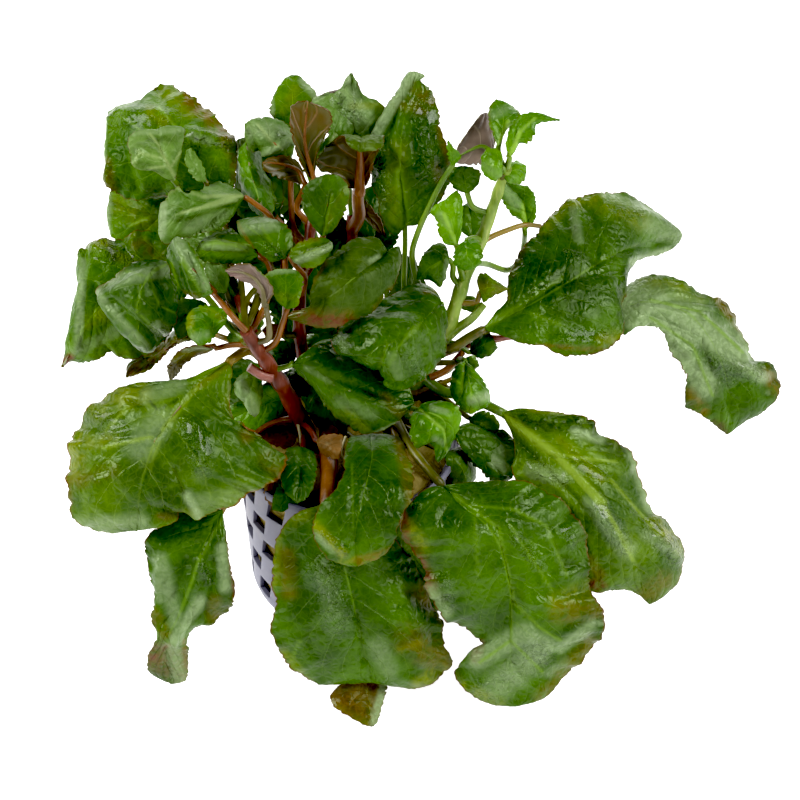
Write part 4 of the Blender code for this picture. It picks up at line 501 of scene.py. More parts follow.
grow("leaf_right_far", "deep", "stem_right", 0.29, under="mauve", stalkLook="rust",
    shape=dict(quilt=0.08, veinDepth=0.12), petiole=[(468, 346, 64), (500, 339, 62.5), (550, 326, 61), (590, 314, 61)],
    midrib=[(615, 308, 62), (645, 303, 62.5), (675, 308, 60), (700, 325, 55), (718, 355, 47.5), (728, 390, 38),
        (727, 434, 27)],
    left=[(630, 283, 63.5), (645, 276, 64), (672, 276, 63.5), (711, 297, 57.5), (724, 299, 55), (735, 315, 51),
        (755, 358, 42), (772, 364, 39), (781, 378, 36), (778, 396, 33.5), (766, 411, 31), (748, 420, 28.5)],
    right=[(624, 335, 58), (636, 327, 58.5), (652, 326, 57.5), (663, 333, 55), (671, 350, 51.5), (680, 365, 48),
        (689, 378, 44), (685, 394, 40), (687, 406, 37), (700, 414, 34)],
    folds=[(640, 305, 700, 318, 4, 0.8), (700, 318, 745, 355, 4, 0.8), (650, 315, 695, 335, 3, -0.7),
        (655, 325, 700, 365, 4, 0.8), (700, 340, 715, 380, 4, -0.9), (712, 370, 730, 432, 5, 0.7),
        (725, 330, 760, 368, 4, -0.6), (668, 300, 712, 305, 3, -0.5), (740, 370, 762, 378, 6, 0.8)],
    marks=dict(pale=[(628, 300, 690, 325, 24, 1), (690, 322, 742, 352, 17, 1), (665, 335, 705, 385, 13, 1),
        (740, 362, 762, 376, 7, 0.9), (628, 322, 665, 326, 7, 0.9)], yellow=[(638, 281, 685, 288, 6, 0.5),
        (640, 285, 700, 300, 7, 0.3)], stain=[(716, 298, 748, 340, 5, 0.8), (664, 345, 682, 372, 4, 0.7),
        (690, 392, 702, 410, 7, 0.9), (766, 372, 777, 392, 7, 0.8)], vein=[(650, 300, 700, 312, 1.6, 0.9),
        (700, 312, 742, 352, 1.6, 0.9), (650, 318, 692, 345, 1.6, 0.8), (692, 345, 712, 395, 1.6, 0.8)],
        shade=[(665, 320, 700, 350, 2.5, 0.6), (700, 345, 715, 375, 4, 0.6), (715, 392, 745, 412, 14, 0.3),
        (716, 428, 722, 442, 8, 0.8)], red=[(716, 428, 722, 442, 8, 1)], wrinkle=[(715, 362, 755, 375, 11, 1),
        (725, 375, 730, 380, 6, 0.9)]))
grow("shoot_leaf_left", "bright", "stem_right", 0.985, petiole=[(499, 156, 113.5)],
    midrib=[(498, 146, 115.5), (503, 125, 118.5), (502, 101, 120)],
    left=[(489, 120, 118), (490, 107, 119.5), (495, 100, 120.2)],
    right=[(507, 129, 117.5), (520, 119, 118), (515, 108, 119)],
    marks=dict(vein=[(498, 146, 508, 122, 2.2, 0.9)], pale=[(495, 115, 505, 110, 6, 0.4)]))
grow("shoot_leaf_right", "bright", "stem_right", 1,
    midrib=[(510, 157, 115), (514, 138, 118.7), (523, 121, 121.5), (540, 117, 122), (560, 120, 121)],
    left=[(506, 147, 117), (508, 132, 120), (518, 118, 122), (534, 113, 122.5)],
    right=[(516, 150, 116), (519, 143, 117.2), (527, 143, 117.7), (534, 135, 119), (537, 124, 120.5)],
    marks=dict(vein=[(510, 155, 520, 132, 2.4, 0.9), (520, 132, 535, 118, 1.6, 0.6)],
        shade=[(508, 128, 515, 122, 4, 0.5)]))
grow("shoot_leaf_grey", "grey", "stem_right", 0.95, under="mauve", petiole=[(499, 168, 108.5)],
    midrib=[(493, 152, 110), (482, 147, 111), (470, 151, 110.5), (456, 158, 109)],
    left=[(495, 136, 112.5), (488, 113, 114.5), (478, 119, 114), (458, 147, 111)],
    right=[(486, 158, 108.7), (480, 164, 108.2), (458, 163, 108)])
grow("shoot_leaf_round", "bright", "stem_right", 0.975,
    midrib=[(502, 167, 113.8), (496, 166, 114.5), (490, 165, 114.2), (482, 162, 113)],
    left=[(501, 177, 112), (495, 181, 111.2), (487, 177, 111.2), (482, 170, 112)],
    right=[(502, 154, 115.5), (496, 149, 116), (488, 149, 115.7), (482, 154, 114.5)],
    marks=dict(shade=[(490, 155, 500, 160, 4, 0.3)], pale=[(485, 165, 498, 175, 5, 0.3)]))
grow("shoot_leaf_side", "bright", "stem_right", 0.62,
    petiole=[(487, 264, 79), (508, 270, 74.5), (521, 258, 73.5), (524, 244, 77.5)],
    midrib=[(525, 231, 83.5), (527, 222, 86.5), (524, 205, 91.5), (516, 192, 95.5), (504, 180, 99)],
    left=[(522, 221, 87), (511, 213, 90), (504, 203, 93), (501, 192, 96.3)],
    right=[(534, 220, 87), (536, 205, 91.5), (530, 188, 97), (520, 186, 98), (511, 180, 99.5)],
    marks=dict(vein=[(524, 230, 523, 205, 2.2, 0.9)], pale=[(505, 188, 516, 205, 6, 0.5)],
        shade=[(520, 195, 528, 192, 5, 0.4)]))
grow("shoot_leaf_small", "bright", "stem_right", 0.36,
    petiole=[(432, 322, 70.5), (420, 290, 79), (412, 255, 88.5), (418, 232, 94), (430, 205, 100.5), (441, 183, 105.5)],
    midrib=[(452, 166, 110), (453, 155, 113), (448, 141, 116.5)], left=[(449, 158, 112), (447, 148, 114.5)],
    right=[(459, 160, 112), (461, 155, 113), (454, 148, 115)])
grow("shoot_leaf_bright", "bright", "stem_right", 0.56, petiole=[(459, 264, 88.5)],
    midrib=[(457, 246, 93), (453, 228, 97.5), (449, 212, 100.5), (445, 200, 102.5)],
    left=[(445, 243, 94), (438, 230, 96.5), (436, 219, 98.5), (430, 211, 100), (437, 204, 101.7)],
    right=[(461, 232, 96), (462, 200, 102), (457, 191, 103.7)],
    marks=dict(vein=[(456, 244, 444, 214, 2, 0.8)], pale=[(448, 225, 440, 215, 4, 0.4)]))
grow("shoot_leaf_dark", "deep", "stem_right", 0.8, petiole=[(473, 207, 99.5)],
    midrib=[(467, 193, 103), (465, 180, 106), (463, 166, 109)],
    left=[(456, 189, 103.5), (449, 179, 106), (453, 168, 108.3)],
    right=[(474, 189, 104), (480, 180, 105.7), (480, 172, 107.7), (471, 167, 109)])
grow("shoot_leaf_low_round", "bright", "stem_right", 0.7, petiole=[(474, 238, 94)],
    midrib=[(466, 240, 96), (467, 254, 96), (468, 270, 92.5)],
    left=[(474, 239, 96.5), (481, 248, 96), (482, 259, 94.5), (477, 267, 93)],
    right=[(458, 246, 95.3), (454, 255, 94.5), (455, 264, 93), (461, 269, 92)])
grow("leaf_centre_right_upper", "deep", "stem_right", 0.54, petiole=[(453, 277, 82.6), (453, 266, 85.3)],
    midrib=[(449, 259, 87.6), (441, 261, 88.3), (429, 268, 87.5), (417, 279, 84.5)],
    left=[(446, 274, 85.3), (444, 281, 83.3), (439, 287, 82.3), (431, 280, 83.7)],
    right=[(446, 246, 89), (436, 244, 89.5), (427, 250, 89.3), (420, 262, 88.2)],
    marks=dict(shade=[(425, 250, 445, 252, 6, 0.7)], pale=[(446, 262, 446, 280, 3, 0.7)],
        vein=[(432, 268, 440, 262, 1.4, 0.6)]))
grow("leaf_right_olive", "yellow", "stem_right", 0.49, stalkLook="olive", petiole=[(476, 302, 77.3)],
    midrib=[(480, 292, 79.8), (486, 288, 81.5), (496, 287, 82), (508, 289, 80.5)],
    left=[(477, 278, 82.5), (484, 273, 84.7), (496, 281, 83.3)],
    right=[(484, 302, 77.7), (490, 297, 79.2), (499, 293, 80)],
    marks=dict(stain=[(480, 285, 503, 291, 8, 0.5)], shade=[(485, 280, 500, 282, 5, 0.5)]))
grow("leaf_right_tiny", "deep", "stem_right", 0.33, petiole=[(452, 343, 67)],
    midrib=[(470, 353, 64.5), (481, 346, 67.5), (494, 340, 69)],
    left=[(472, 342, 67), (479, 334, 68.5), (488, 332, 69.5)], right=[(480, 358, 64), (491, 355, 65), (497, 348, 66.7)])
grow("leaf_right_round", "bright", "stem_right", 0.24, petiole=[(445, 372, 59.5), (458, 360, 64)],
    midrib=[(465, 360, 67.5), (468, 375, 68.5), (471, 392, 66.5), (471, 414, 60.5)],
    left=[(474, 370, 68), (484, 381, 66.5), (490, 394, 64), (486, 406, 61.5)],
    right=[(456, 366, 67.5), (451, 380, 66.5), (452, 395, 64), (459, 408, 61)],
    folds=[(464, 365, 462, 395, 2.5, -0.6), (470, 395, 484, 400, 5, 0.8)],
    marks=dict(pale=[(472, 400, 486, 396, 5, 0.9)], vein=[(464, 365, 462, 392, 1.6, 0.6),
        (462, 385, 452, 378, 1.3, 0.5)], yellow=[(455, 410, 470, 412, 4, 0.4)], shade=[(465, 375, 480, 385, 6, 0.3)]))
grow("leaf_right_bright", "bright", "stem_right", 0.12, petiole=[(408, 407, 56.5)],
    midrib=[(415, 409, 59.5), (428, 412, 63), (443, 419, 62.7), (447, 435, 59), (438, 462, 51.5)],
    left=[(425, 403, 63.5), (440, 401, 64.5), (455, 406, 64.2), (461, 416, 62.3), (458, 430, 59.3), (444, 456, 53)],
    right=[(410, 420, 58.5), (410, 436, 57.5), (418, 447, 56.3), (428, 443, 57), (434, 447, 56), (435, 456, 53.5)],
    folds=[(418, 408, 445, 432, 3, -0.7), (432, 410, 446, 418, 4, 0.7)],
    marks=dict(vein=[(418, 408, 444, 430, 2, 0.8), (444, 430, 446, 450, 1.6, 0.7)], pale=[(432, 408, 446, 412, 3, 0.6),
        (435, 438, 442, 442, 3, 0.5)], shade=[(420, 425, 430, 440, 6, 0.4)]))
grow("leaf_crown_grey", "grey", "stem_left", 0.45, petiole=[(269, 375, 63.5), (262, 364, 66.2)],
    midrib=[(256, 368, 65.5), (252, 383, 64.5), (251, 396, 62.5), (255, 417, 56.5)],
    left=[(261, 379, 63.3), (263, 392, 61.5), (260, 404, 59.3)],
    right=[(243, 371, 64.5), (236, 382, 63), (235, 392, 62), (245, 404, 59.5)],
    folds=[(256, 370, 246, 400, 3, -0.8), (242, 385, 255, 412, 4, 1)],
    marks=dict(pale=[(240, 380, 256, 414, 5, 0.7)], shade=[(250, 376, 262, 380, 5, 0.4)]))
grow("leaf_crown_green", "deep", "stem_left", 0.08, stalkLook="red",
    midrib=[(303, 447, 51.5), (301, 462, 53.8), (299, 482, 53), (297, 503, 50.6)],
    left=[(314, 453, 52.5), (316, 473, 53.5), (313, 488, 52.8), (306, 499, 51.6)],
    right=[(289, 448, 53), (284, 460, 54), (281, 475, 53.5), (285, 492, 52.3)])
grow("leaf_crown_dead", "dead", "stem_left", 0.16, stalkLook="red", petiole=[(311, 431, 53)],
    midrib=[(316, 441, 54.5), (327, 445, 56), (341, 450, 55.5)], left=[(323, 436, 56), (334, 434, 57), (343, 437, 57)],
    right=[(321, 452, 53.5), (329, 457, 53.7), (339, 458, 54.3)])

# Small and half-hidden leaves that are no node of the CAD
grow("leafInnerDark", "deep", "stem_middle", 0.84, petiole=[(297, 234, 82.5)],
    midrib=[(292, 224, 83), (291, 212, 85), (290, 198, 87), (291, 182, 89)],
    left=[(284, 218, 84), (279, 204, 86), (281, 190, 87.5)], right=[(299, 214, 84), (303, 200, 86), (300, 186, 88)])
grow("leafInnerOlive", "yellow", "stem_middle", 0.82, petiole=[(314, 249, 85.8)],
    midrib=[(320, 243, 85), (308, 238, 86), (296, 231, 87), (285, 226, 87)],
    left=[(312, 251, 83), (300, 251, 83), (288, 243, 84.5)], right=[(316, 232, 87), (303, 220, 89), (292, 216, 89)])
grow("leafInnerBrown", "brown", "stem_back", 0.97, under="olive",
    midrib=[(356, 205, 86.5), (364, 211, 86), (374, 221, 84), (385, 236, 81)],
    left=[(363, 199, 88), (373, 210, 87), (382, 223, 84.5)], right=[(357, 214, 85), (366, 220, 83.5), (376, 230, 81.5)])
grow("leafInnerLow", "dull", "stem_back", 0.84,
    midrib=[(347, 243, 79), (341, 236, 81.5), (335, 229, 83), (329, 225, 83.5)],
    left=[(343, 248, 79), (333, 246, 80), (325, 236, 82)], right=[(351, 228, 82.5), (344, 219, 84), (335, 216, 85)])
grow("leafBehindRound", "dull", "stem_left", 1, petiole=[(243, 300, 84.5)],
    midrib=[(238, 286, 84.5), (230, 285, 84), (223, 286, 83), (216, 289, 82)],
    left=[(235, 295, 82.5), (227, 300, 81), (219, 299, 80.5)], right=[(234, 274, 86), (226, 270, 86), (218, 277, 84.5)])
grow("leafAmber", "dead", "stem_middle", 0.46, under="olive",
    midrib=[(284, 336, 73.5), (276, 333, 75), (269, 331, 75.5), (262, 330, 75.5)],
    left=[(277, 340, 73), (269, 340, 73.5)], right=[(280, 326, 76.5), (270, 324, 77)])
grow("leafShadeLeft", "deep", "stem_middle", 0.36,
    midrib=[(298, 352, 62), (288, 353, 62.5), (278, 354, 62.5), (267, 355, 61)], left=[(290, 366, 59), (276, 366, 59)],
    right=[(292, 341, 66), (276, 343, 65.5)])
grow("leafShadeMiddle", "fresh", "stem_middle", 0.2,
    midrib=[(312, 384, 56), (320, 396, 55), (331, 413, 52), (346, 432, 47.5)],
    left=[(324, 378, 59), (340, 396, 57), (350, 416, 52)], right=[(302, 396, 52), (308, 415, 49.5), (326, 431, 47)])
grow("leafShadeCorner", "deep", "stem_left", 0.6,
    midrib=[(266, 374, 66), (250, 377, 64), (236, 384, 61.5), (221, 397, 58)],
    left=[(256, 390, 61), (241, 400, 58), (228, 404, 56)], right=[(254, 362, 67), (238, 360, 66.5), (222, 372, 63.5)])
grow("leafShadeRim", "bright", "stem_left", 0.36,
    midrib=[(286, 398, 56.5), (269, 403, 56), (250, 410, 54.5), (231, 420, 52)],
    left=[(280, 416, 52.5), (260, 428, 51), (240, 433, 50)],
    right=[(276, 386, 59.5), (256, 388, 59), (236, 400, 56), (226, 411, 53.5)])
grow("leafLitter", "dead", "stem_left", 0.08, under="olive",
    midrib=[(300, 427, 48.5), (286, 425, 49), (270, 426, 49), (256, 430, 48)],
    left=[(292, 446, 46), (274, 446, 46), (260, 440, 47)], right=[(288, 407, 52), (270, 405, 52.5), (256, 415, 51)])
grow("leafSmallGrey", "grey", "stem_left", 0.93, midrib=[(259, 331, 81), (256, 324, 82), (252, 316, 83)],
    left=[(252, 331, 81), (247, 324, 82)], right=[(264, 322, 82.5), (259, 314, 84)])
grow("leafTinyGrey", "grey", "stem_left", 0.9, petiole=[(246, 343, 80.5)],
    midrib=[(242, 340, 80), (235, 338, 80), (227, 338, 79.5)], left=[(236, 345, 79), (231, 344, 79)],
    right=[(238, 333, 81), (231, 332, 80.5)])
grow("leafHighSmall", "grey", "stem_left", 1, petiole=[(236, 290, 84), (222, 240, 86), (212, 205, 92)],
    midrib=[(206, 182, 104), (199, 172, 105.5), (192, 161, 107), (187, 150, 108)],
    left=[(198, 181, 104), (190, 172, 105), (185, 160, 107)],
    right=[(204, 168, 106), (197, 156, 107.5), (191, 149, 108.5)])
grow("leafMidSliver", "deep", "stem_left", 1, petiole=[(247, 300, 86)],
    midrib=[(275, 271, 87), (263, 266, 88), (252, 262, 88.5), (242, 262, 88)], left=[(266, 273, 86), (254, 271, 86.5)],
    right=[(264, 257, 89.5), (252, 254, 90)])
grow("leafShootBack", "deep", "stem_right", 0.72, petiole=[(478, 240, 88.5)],
    midrib=[(473, 238, 88.5), (471, 226, 90), (470, 214, 92), (468, 203, 93)],
    left=[(464, 234, 89), (459, 222, 91), (461, 208, 93)], right=[(483, 228, 89.5), (485, 218, 91), (479, 209, 93)])
grow("leafCurlBright", "yellow", "stem_right", 0.44,
    midrib=[(458, 305, 74.5), (465, 303, 75), (472, 303, 75), (480, 303, 74.5)],
    left=[(465, 297, 76.5), (473, 296, 76.5)], right=[(465, 310, 73.5), (473, 311, 73)])
grow("leafOliveSmall", "yellow", "stem_right", 0.2, petiole=[(440, 395, 55)],
    midrib=[(470, 419, 52), (479, 422, 52.5), (488, 427, 51.5), (497, 434, 49.5)],
    left=[(478, 412, 54), (490, 413, 53.5), (499, 424, 51.5)], right=[(469, 430, 50), (478, 438, 48.5), (488, 440, 48)])
grow("leafOliveLow", "brown", "stem_right", 0.04, under="olive", petiole=[(425, 440, 47.5)],
    midrib=[(449, 452, 48.5), (455, 459, 47), (461, 470, 44), (465, 484, 39.5)],
    left=[(457, 449, 48), (468, 456, 46), (475, 470, 42)], right=[(446, 461, 45.5), (446, 475, 41.5), (453, 489, 38)])
grow("leafRimBrown", "dead", "stem_left", 0.02, under="olive", petiole=[(296, 460, 48.5)],
    midrib=[(270, 480, 49.5), (272, 490, 47.5), (278, 500, 44.5), (287, 511, 41)],
    left=[(280, 486, 47.5), (286, 498, 44.5)], right=[(264, 490, 48), (266, 500, 45.5), (275, 508, 42.5)])
grow("leafDarkTwist", "brown", "stem_right", 0.12, under="olive",
    midrib=[(418, 398, 54), (429, 394, 55.5), (440, 389, 57), (451, 388, 57)], left=[(428, 386, 57), (440, 380, 59)],
    right=[(428, 403, 53.5), (440, 400, 54.5), (449, 395, 55.5)])
grow("leafBitYellow", "yellow", "stem_right", 0.27,
    midrib=[(463, 362, 64), (469, 361, 64.5), (474, 363, 64), (479, 366, 63)], left=[(469, 356, 65.5), (475, 357, 65)],
    right=[(468, 368, 62.5), (474, 369, 62)])
grow("leafBackTall", "deep", "stem_back", 0.7, petiole=[(362, 272, 76)],
    midrib=[(374, 262, 76), (375, 235, 79), (379, 205, 83), (388, 178, 87)],
    left=[(361, 252, 77), (356, 224, 80), (358, 196, 84)], right=[(392, 248, 78), (404, 220, 81), (404, 190, 85)])
grow("leafBackLeft", "deep", "stem_middle", 0.75,
    midrib=[(298, 262, 81), (264, 240, 83), (236, 220, 85), (216, 206, 86)],
    left=[(284, 276, 77), (252, 266, 79), (226, 244, 82)], right=[(285, 234, 85), (256, 210, 88), (232, 196, 90)])
grow("leafBackMiddle", "deep", "stem_middle", 0.42,
    midrib=[(304, 334, 68), (320, 305, 72), (332, 272, 77), (340, 240, 81)],
    left=[(292, 310, 71), (297, 272, 77), (316, 244, 81)], right=[(334, 330, 68), (352, 300, 72), (360, 262, 78)])
grow("leafBackRight", "dull", "stem_right", 0.34,
    midrib=[(432, 334, 69), (416, 308, 72), (406, 282, 75), (400, 254, 78)],
    left=[(412, 328, 69), (394, 304, 72), (389, 274, 76)], right=[(438, 312, 72), (427, 286, 75), (415, 260, 78)])
grow("leafBackStem", "deep", "stem_middle", 0.4,
    midrib=[(299, 344, 66), (291, 325, 70), (283, 305, 73), (277, 288, 76)],
    left=[(284, 340, 66), (273, 320, 70), (269, 300, 74)], right=[(306, 326, 70), (304, 306, 73), (293, 288, 77)])
grow("leafBackCrown", "deep", "stem_back", 0.3, midrib=[(356, 362, 55), (372, 344, 58), (388, 322, 62), (396, 300, 66)],
    left=[(346, 346, 59), (356, 322, 63), (378, 302, 67)], right=[(380, 364, 55), (398, 342, 59), (406, 318, 63)])
grow("leafGapGrey", "grey", "stem_left", 0.95,
    midrib=[(226, 293, 84), (220, 283, 85.5), (214, 273, 86.5), (207, 264, 87)],
    left=[(216, 291, 83.5), (210, 282, 84.5), (205, 272, 85.5)],
    right=[(229, 283, 86), (227, 272, 88), (217, 263, 88.5)])
grow("leafGapFolded", "grey", "stem_left", 1, petiole=[(240, 300, 82)],
    midrib=[(232, 270, 84), (216, 256, 85), (200, 244, 86), (182, 232, 87)],
    left=[(222, 276, 82), (203, 268, 82.5), (186, 252, 84)], right=[(230, 246, 87), (216, 226, 89), (196, 218, 89.5)])
grow("leafGapOlive", "yellow", "stem_left", 0.88, under="olive", petiole=[(230, 324, 78)],
    midrib=[(214, 318, 77), (200, 314, 77.5), (186, 314, 77), (172, 322, 75)],
    left=[(202, 330, 75), (188, 336, 74), (178, 338, 73.5)], right=[(206, 304, 79), (190, 298, 80), (176, 302, 79)])
grow("leafGapHigh", "fresh", "stem_left", 1, petiole=[(236, 250, 88)],
    midrib=[(222, 226, 91), (208, 208, 92.5), (194, 194, 93), (180, 183, 92)],
    left=[(206, 222, 90), (190, 208, 91), (178, 196, 91)], right=[(222, 208, 93), (208, 192, 94), (192, 182, 93)])
grow("leafGapPale", "bright", "stem_left", 1, petiole=[(272, 262, 84)],
    midrib=[(268, 222, 95), (258, 196, 99), (250, 168, 103), (246, 142, 105)],
    left=[(248, 205, 94), (239, 178, 99), (238, 152, 103)], right=[(276, 200, 95), (266, 172, 99), (258, 148, 102)])
grow("leafGapShade", "bright", "stem_left", 1, petiole=[(268, 262, 84)],
    midrib=[(276, 240, 87), (266, 222, 89), (254, 208, 90), (240, 198, 90)],
    left=[(258, 236, 87), (245, 222, 88), (236, 208, 88)], right=[(284, 222, 89), (272, 206, 91), (256, 196, 91)])
grow("leafGapCentre", "deep", "stem_middle", 0.3,
    midrib=[(300, 352, 62), (318, 342, 62), (336, 334, 62), (356, 330, 61)],
    left=[(314, 326, 62), (332, 318, 62), (350, 318, 61)], right=[(318, 356, 61), (336, 350, 61), (352, 342, 60)])
grow("leafGapRim", "deep", "stem_left", 0.35, under="mauve",
    midrib=[(282, 384, 60), (296, 378, 58), (312, 380, 55), (326, 390, 52)],
    left=[(294, 366, 58), (312, 366, 56), (326, 376, 53)], right=[(290, 394, 57), (304, 396, 54), (318, 400, 52)])
grow("leafGapFront", "yellow", "stem_middle", 0.01, under="olive", petiole=[(384, 462, 49.5)],
    midrib=[(396, 492, 48.5), (406, 528, 41), (418, 570, 30), (430, 618, 17)],
    left=[(415, 520, 41), (432, 560, 31), (444, 602, 20)], right=[(388, 526, 40), (396, 568, 29), (412, 612, 17)])
grow("leafShootRosette", "bright", "stem_right", 0.96,
    midrib=[(503, 176, 110.5), (510, 172, 110.5), (518, 170, 110), (526, 173, 108.5)],
    left=[(509, 164, 110.5), (517, 161, 110.5), (525, 165, 109.5)],
    right=[(508, 182, 109.5), (515, 184, 108.5), (523, 181, 108)])
grow("leafRimOlive", "yellow", "stem_right", 0.04, under="olive", petiole=[(420, 440, 50)],
    midrib=[(444, 452, 50), (456, 460, 49), (464, 472, 46), (466, 488, 41)],
    left=[(462, 448, 48), (474, 460, 45), (476, 476, 41)], right=[(446, 462, 49), (450, 474, 45), (455, 488, 40)])
grow("leafRimDark", "deep", "stem_right", 0.05, under="mauve", petiole=[(430, 428, 53)],
    midrib=[(452, 430, 54), (474, 440, 52), (496, 456, 48), (512, 478, 41)],
    left=[(470, 424, 53), (498, 434, 50), (516, 456, 44)], right=[(460, 446, 52), (478, 466, 47), (496, 484, 41)])
grow("leafGapStem", "fresh", "stem_left", 0.02, under="olive",
    midrib=[(304, 458, 49), (296, 474, 49.5), (288, 492, 50), (282, 512, 46)], left=[(308, 478, 49), (303, 500, 47)],
    right=[(286, 472, 50), (276, 490, 50), (272, 508, 46.5)])
grow("leafBackHigh", "grey", "stem_middle", 0.9, petiole=[(300, 214, 90)],
    midrib=[(292, 205, 91), (278, 190, 93.5), (262, 172, 96), (250, 152, 99)],
    left=[(282, 214, 89), (262, 202, 92), (244, 182, 95), (238, 162, 98)],
    right=[(298, 190, 93.5), (290, 170, 96.5), (274, 154, 99)])

# Roots, stubs and bare stalks: spots, the two radii in mm, and what each looks like
twigs = {
    "stubCut": ([(272, 378, 69), (262, 375, 70), (249, 367, 72)], 1.25, 1.15, "pink"),
    "branchRed": ([(254, 334, 81.5), (245, 318, 84), (237, 297, 86)], 1.2, 0.9, "red"),
    "stalkOlive": ([(264, 318, 82), (250, 304, 84), (238, 293, 85.5)], 0.6, 0.5, "olive"),
    "rootWhite": ([(297, 414, 53.5), (298, 424, 51.5), (300, 434, 49.5), (301, 445, 47)], 0.45, 0.30, "root"),
    "rootPale": ([(346, 436, 52), (341, 453, 49.5), (347, 468, 48), (338, 483, 46), (333, 495, 45.5),
                  (322, 508, 44), (314, 522, 41)], 0.35, 0.22, "root"),
    "rootFork": ([(347, 468, 48), (343, 466, 48.2), (341, 463, 48.6)], 0.30, 0.15, "root"),
    "stalkLitter": ([(300, 418, 52.5), (284, 420, 52), (268, 425, 51.5), (254, 434, 50.5)], 0.9, 0.6, "rust"),
    "stalkBrown": ([(430, 378, 60), (446, 370, 61.5), (463, 352, 65.5)], 0.9, 0.8, "rust"),
    "stalkLow": ([(412, 394, 55.5), (425, 390, 56.5), (452, 379, 60)], 0.9, 0.6, "olive"),
    "stalkThinRight": ([(478, 246, 88), (489, 238, 88.5), (505, 231, 89), (524, 225, 89), (540, 226, 87)],
                       0.75, 0.55, "olive"),
    "stalkPink": ([(486, 337, 68), (498, 338, 68.5), (512, 337, 69)], 0.75, 0.7, "pink"),
    "stalkSide": ([(446, 338, 69), (458, 328, 71), (472, 318, 73.5), (484, 304, 76)], 1.25, 0.9, "stemGreen"),
    "rootGoldA": ([(436, 455, 46), (441, 466, 45.5), (446, 480, 42)], 0.4, 0.25, "root"),
    "rootGoldB": ([(432, 462, 45.5), (440, 474, 44), (441, 486, 40)], 0.35, 0.2, "root"),
}


def give(tree, node, given):
    # each input gets its number or colour, or the output of another node
    for key, value in given.items():
        socket = node.inputs[key]
        if isinstance(value, bpy.types.NodeSocket):
            tree.links.new(value, socket)
        elif socket.type == "RGBA":
            socket.default_value = (*value, 1.0)
        else:
            socket.default_value = value


def newMaterial(name, roughness, coat=0.0, coatRoughness=0.1, specular=0.5, tint=(1.0, 1.0, 1.0)):
    material = bpy.data.materials.new(name)
    material.use_nodes = True
    tree = material.node_tree
    shader = tree.nodes["Principled BSDF"]
    give(tree, shader, {"Roughness": roughness, "Coat Weight": coat, "Coat Roughness": coatRoughness,
                        "Specular IOR Level": specular, "Specular Tint": tint})
    return material, tree, shader


def addNode(tree, kind, given, **settings):
    node = tree.nodes.new(kind)
    for key, value in settings.items():
        setattr(node, key, value)
    give(tree, node, given)
    return node


def noise(tree, where, scale, detail=3.0, roughness=0.55, distortion=0.0):
    given = {"Vector": where, "Scale": scale, "Detail": detail, "Roughness": roughness, "Distortion": distortion}
    return addNode(tree, "ShaderNodeTexNoise", given).outputs["Fac"]


def remap(tree, value, low, high, toLow=0.0, toHigh=1.0):
    given = {"Value": value, "From Min": low, "From Max": high, "To Min": toLow, "To Max": toHigh}
    return addNode(tree, "ShaderNodeMapRange", given, interpolation_type="SMOOTHSTEP").outputs["Result"]


def sums(tree, how, first, second):
    return addNode(tree, "ShaderNodeMath", {0: first, 1: second}, operation=how).outputs[0]


def times(tree, first, second):
    return sums(tree, "MULTIPLY", first, second)


def blendColour(tree, amount, first, second):
    given = {0: amount, 6: first, 7: second}      # 6 and 7 are this node's two colours
    return addNode(tree, "ShaderNodeMix", given, data_type="RGBA").outputs[2]


def paintOver(tree, colour, paint, mask, share):
    # the colour, with its share of a paint where the mask is full
    return blendColour(tree, times(tree, mask, share), colour, paint)


def relief(tree, *layers):
    # bumps laid one over another, each a height, its strength and its depth in m
    under = {}
    for height, strength, depth in layers:
        made = addNode(tree, "ShaderNodeBump", {"Height": height, "Strength": strength, "Distance": depth, **under})
        under = {"Normal": made.outputs["Normal"]}
    return under["Normal"]


def objectPlace(tree):
    return addNode(tree, "ShaderNodeTexCoord", {}).outputs["Object"]


# Each look: the blade's dark and light greens, its veins, its edge and its gloss
leafLooks = {
    "deep": dict(dark=(0.012, 0.042, 0.0003), light=(0.046, 0.115, 0.0006), vein=(0.12, 0.22, 0.015),
                 edge=(0.09, 0.030, 0.006), gloss=0.36),
    "fresh": dict(dark=(0.022, 0.072, 0.0003), light=(0.078, 0.168, 0.0008), vein=(0.20, 0.34, 0.04),
                  edge=(0.10, 0.050, 0.006), gloss=0.36, shine=0.16),
    "yellow": dict(dark=(0.020, 0.060, 0.0003), light=(0.080, 0.150, 0.0007), vein=(0.19, 0.28, 0.03),
                   edge=(0.14, 0.045, 0.006), gloss=0.38),
    "bright": dict(dark=(0.028, 0.098, 0.0008), light=(0.095, 0.225, 0.0030), vein=(0.24, 0.40, 0.05),
                   edge=(0.08, 0.15, 0.01), gloss=0.34),
    "dull": dict(dark=(0.020, 0.048, 0.002), light=(0.058, 0.100, 0.006), vein=(0.13, 0.19, 0.04),
                 edge=(0.08, 0.03, 0.015), gloss=0.44),
    # grey: its lighter, bluer greens are partly a painted grey sheen
    "grey": dict(dark=(0.045, 0.105, 0.010), light=(0.130, 0.225, 0.045), vein=(0.26, 0.34, 0.12),
                 edge=(0.10, 0.06, 0.03), gloss=0.40),
    "brown": dict(dark=(0.040, 0.026, 0.0004), light=(0.110, 0.068, 0.0010), vein=(0.26, 0.15, 0.03),
                  edge=(0.08, 0.020, 0.005), gloss=0.38),
    "dead": dict(dark=(0.065, 0.028, 0.007), light=(0.20, 0.10, 0.030), vein=(0.33, 0.17, 0.05),
                 edge=(0.08, 0.025, 0.01), gloss=0.50),
}
# What the marks are painted with; a wrinkle is relief, and a vein takes its look's colour
# yellow, stain and red are the leaf's own tints; shade is painted shade, and in its thinnest strokes dark vein lines;
# pale is a painted sheen
markPaints = {"yellow": (0.150, 0.180, 0.003), "stain": (0.105, 0.070, 0.001), "red": (0.115, 0.022, 0.014),
              "shade": (0.008, 0.026, 0.0003), "pale": (0.205, 0.280, 0.130)}
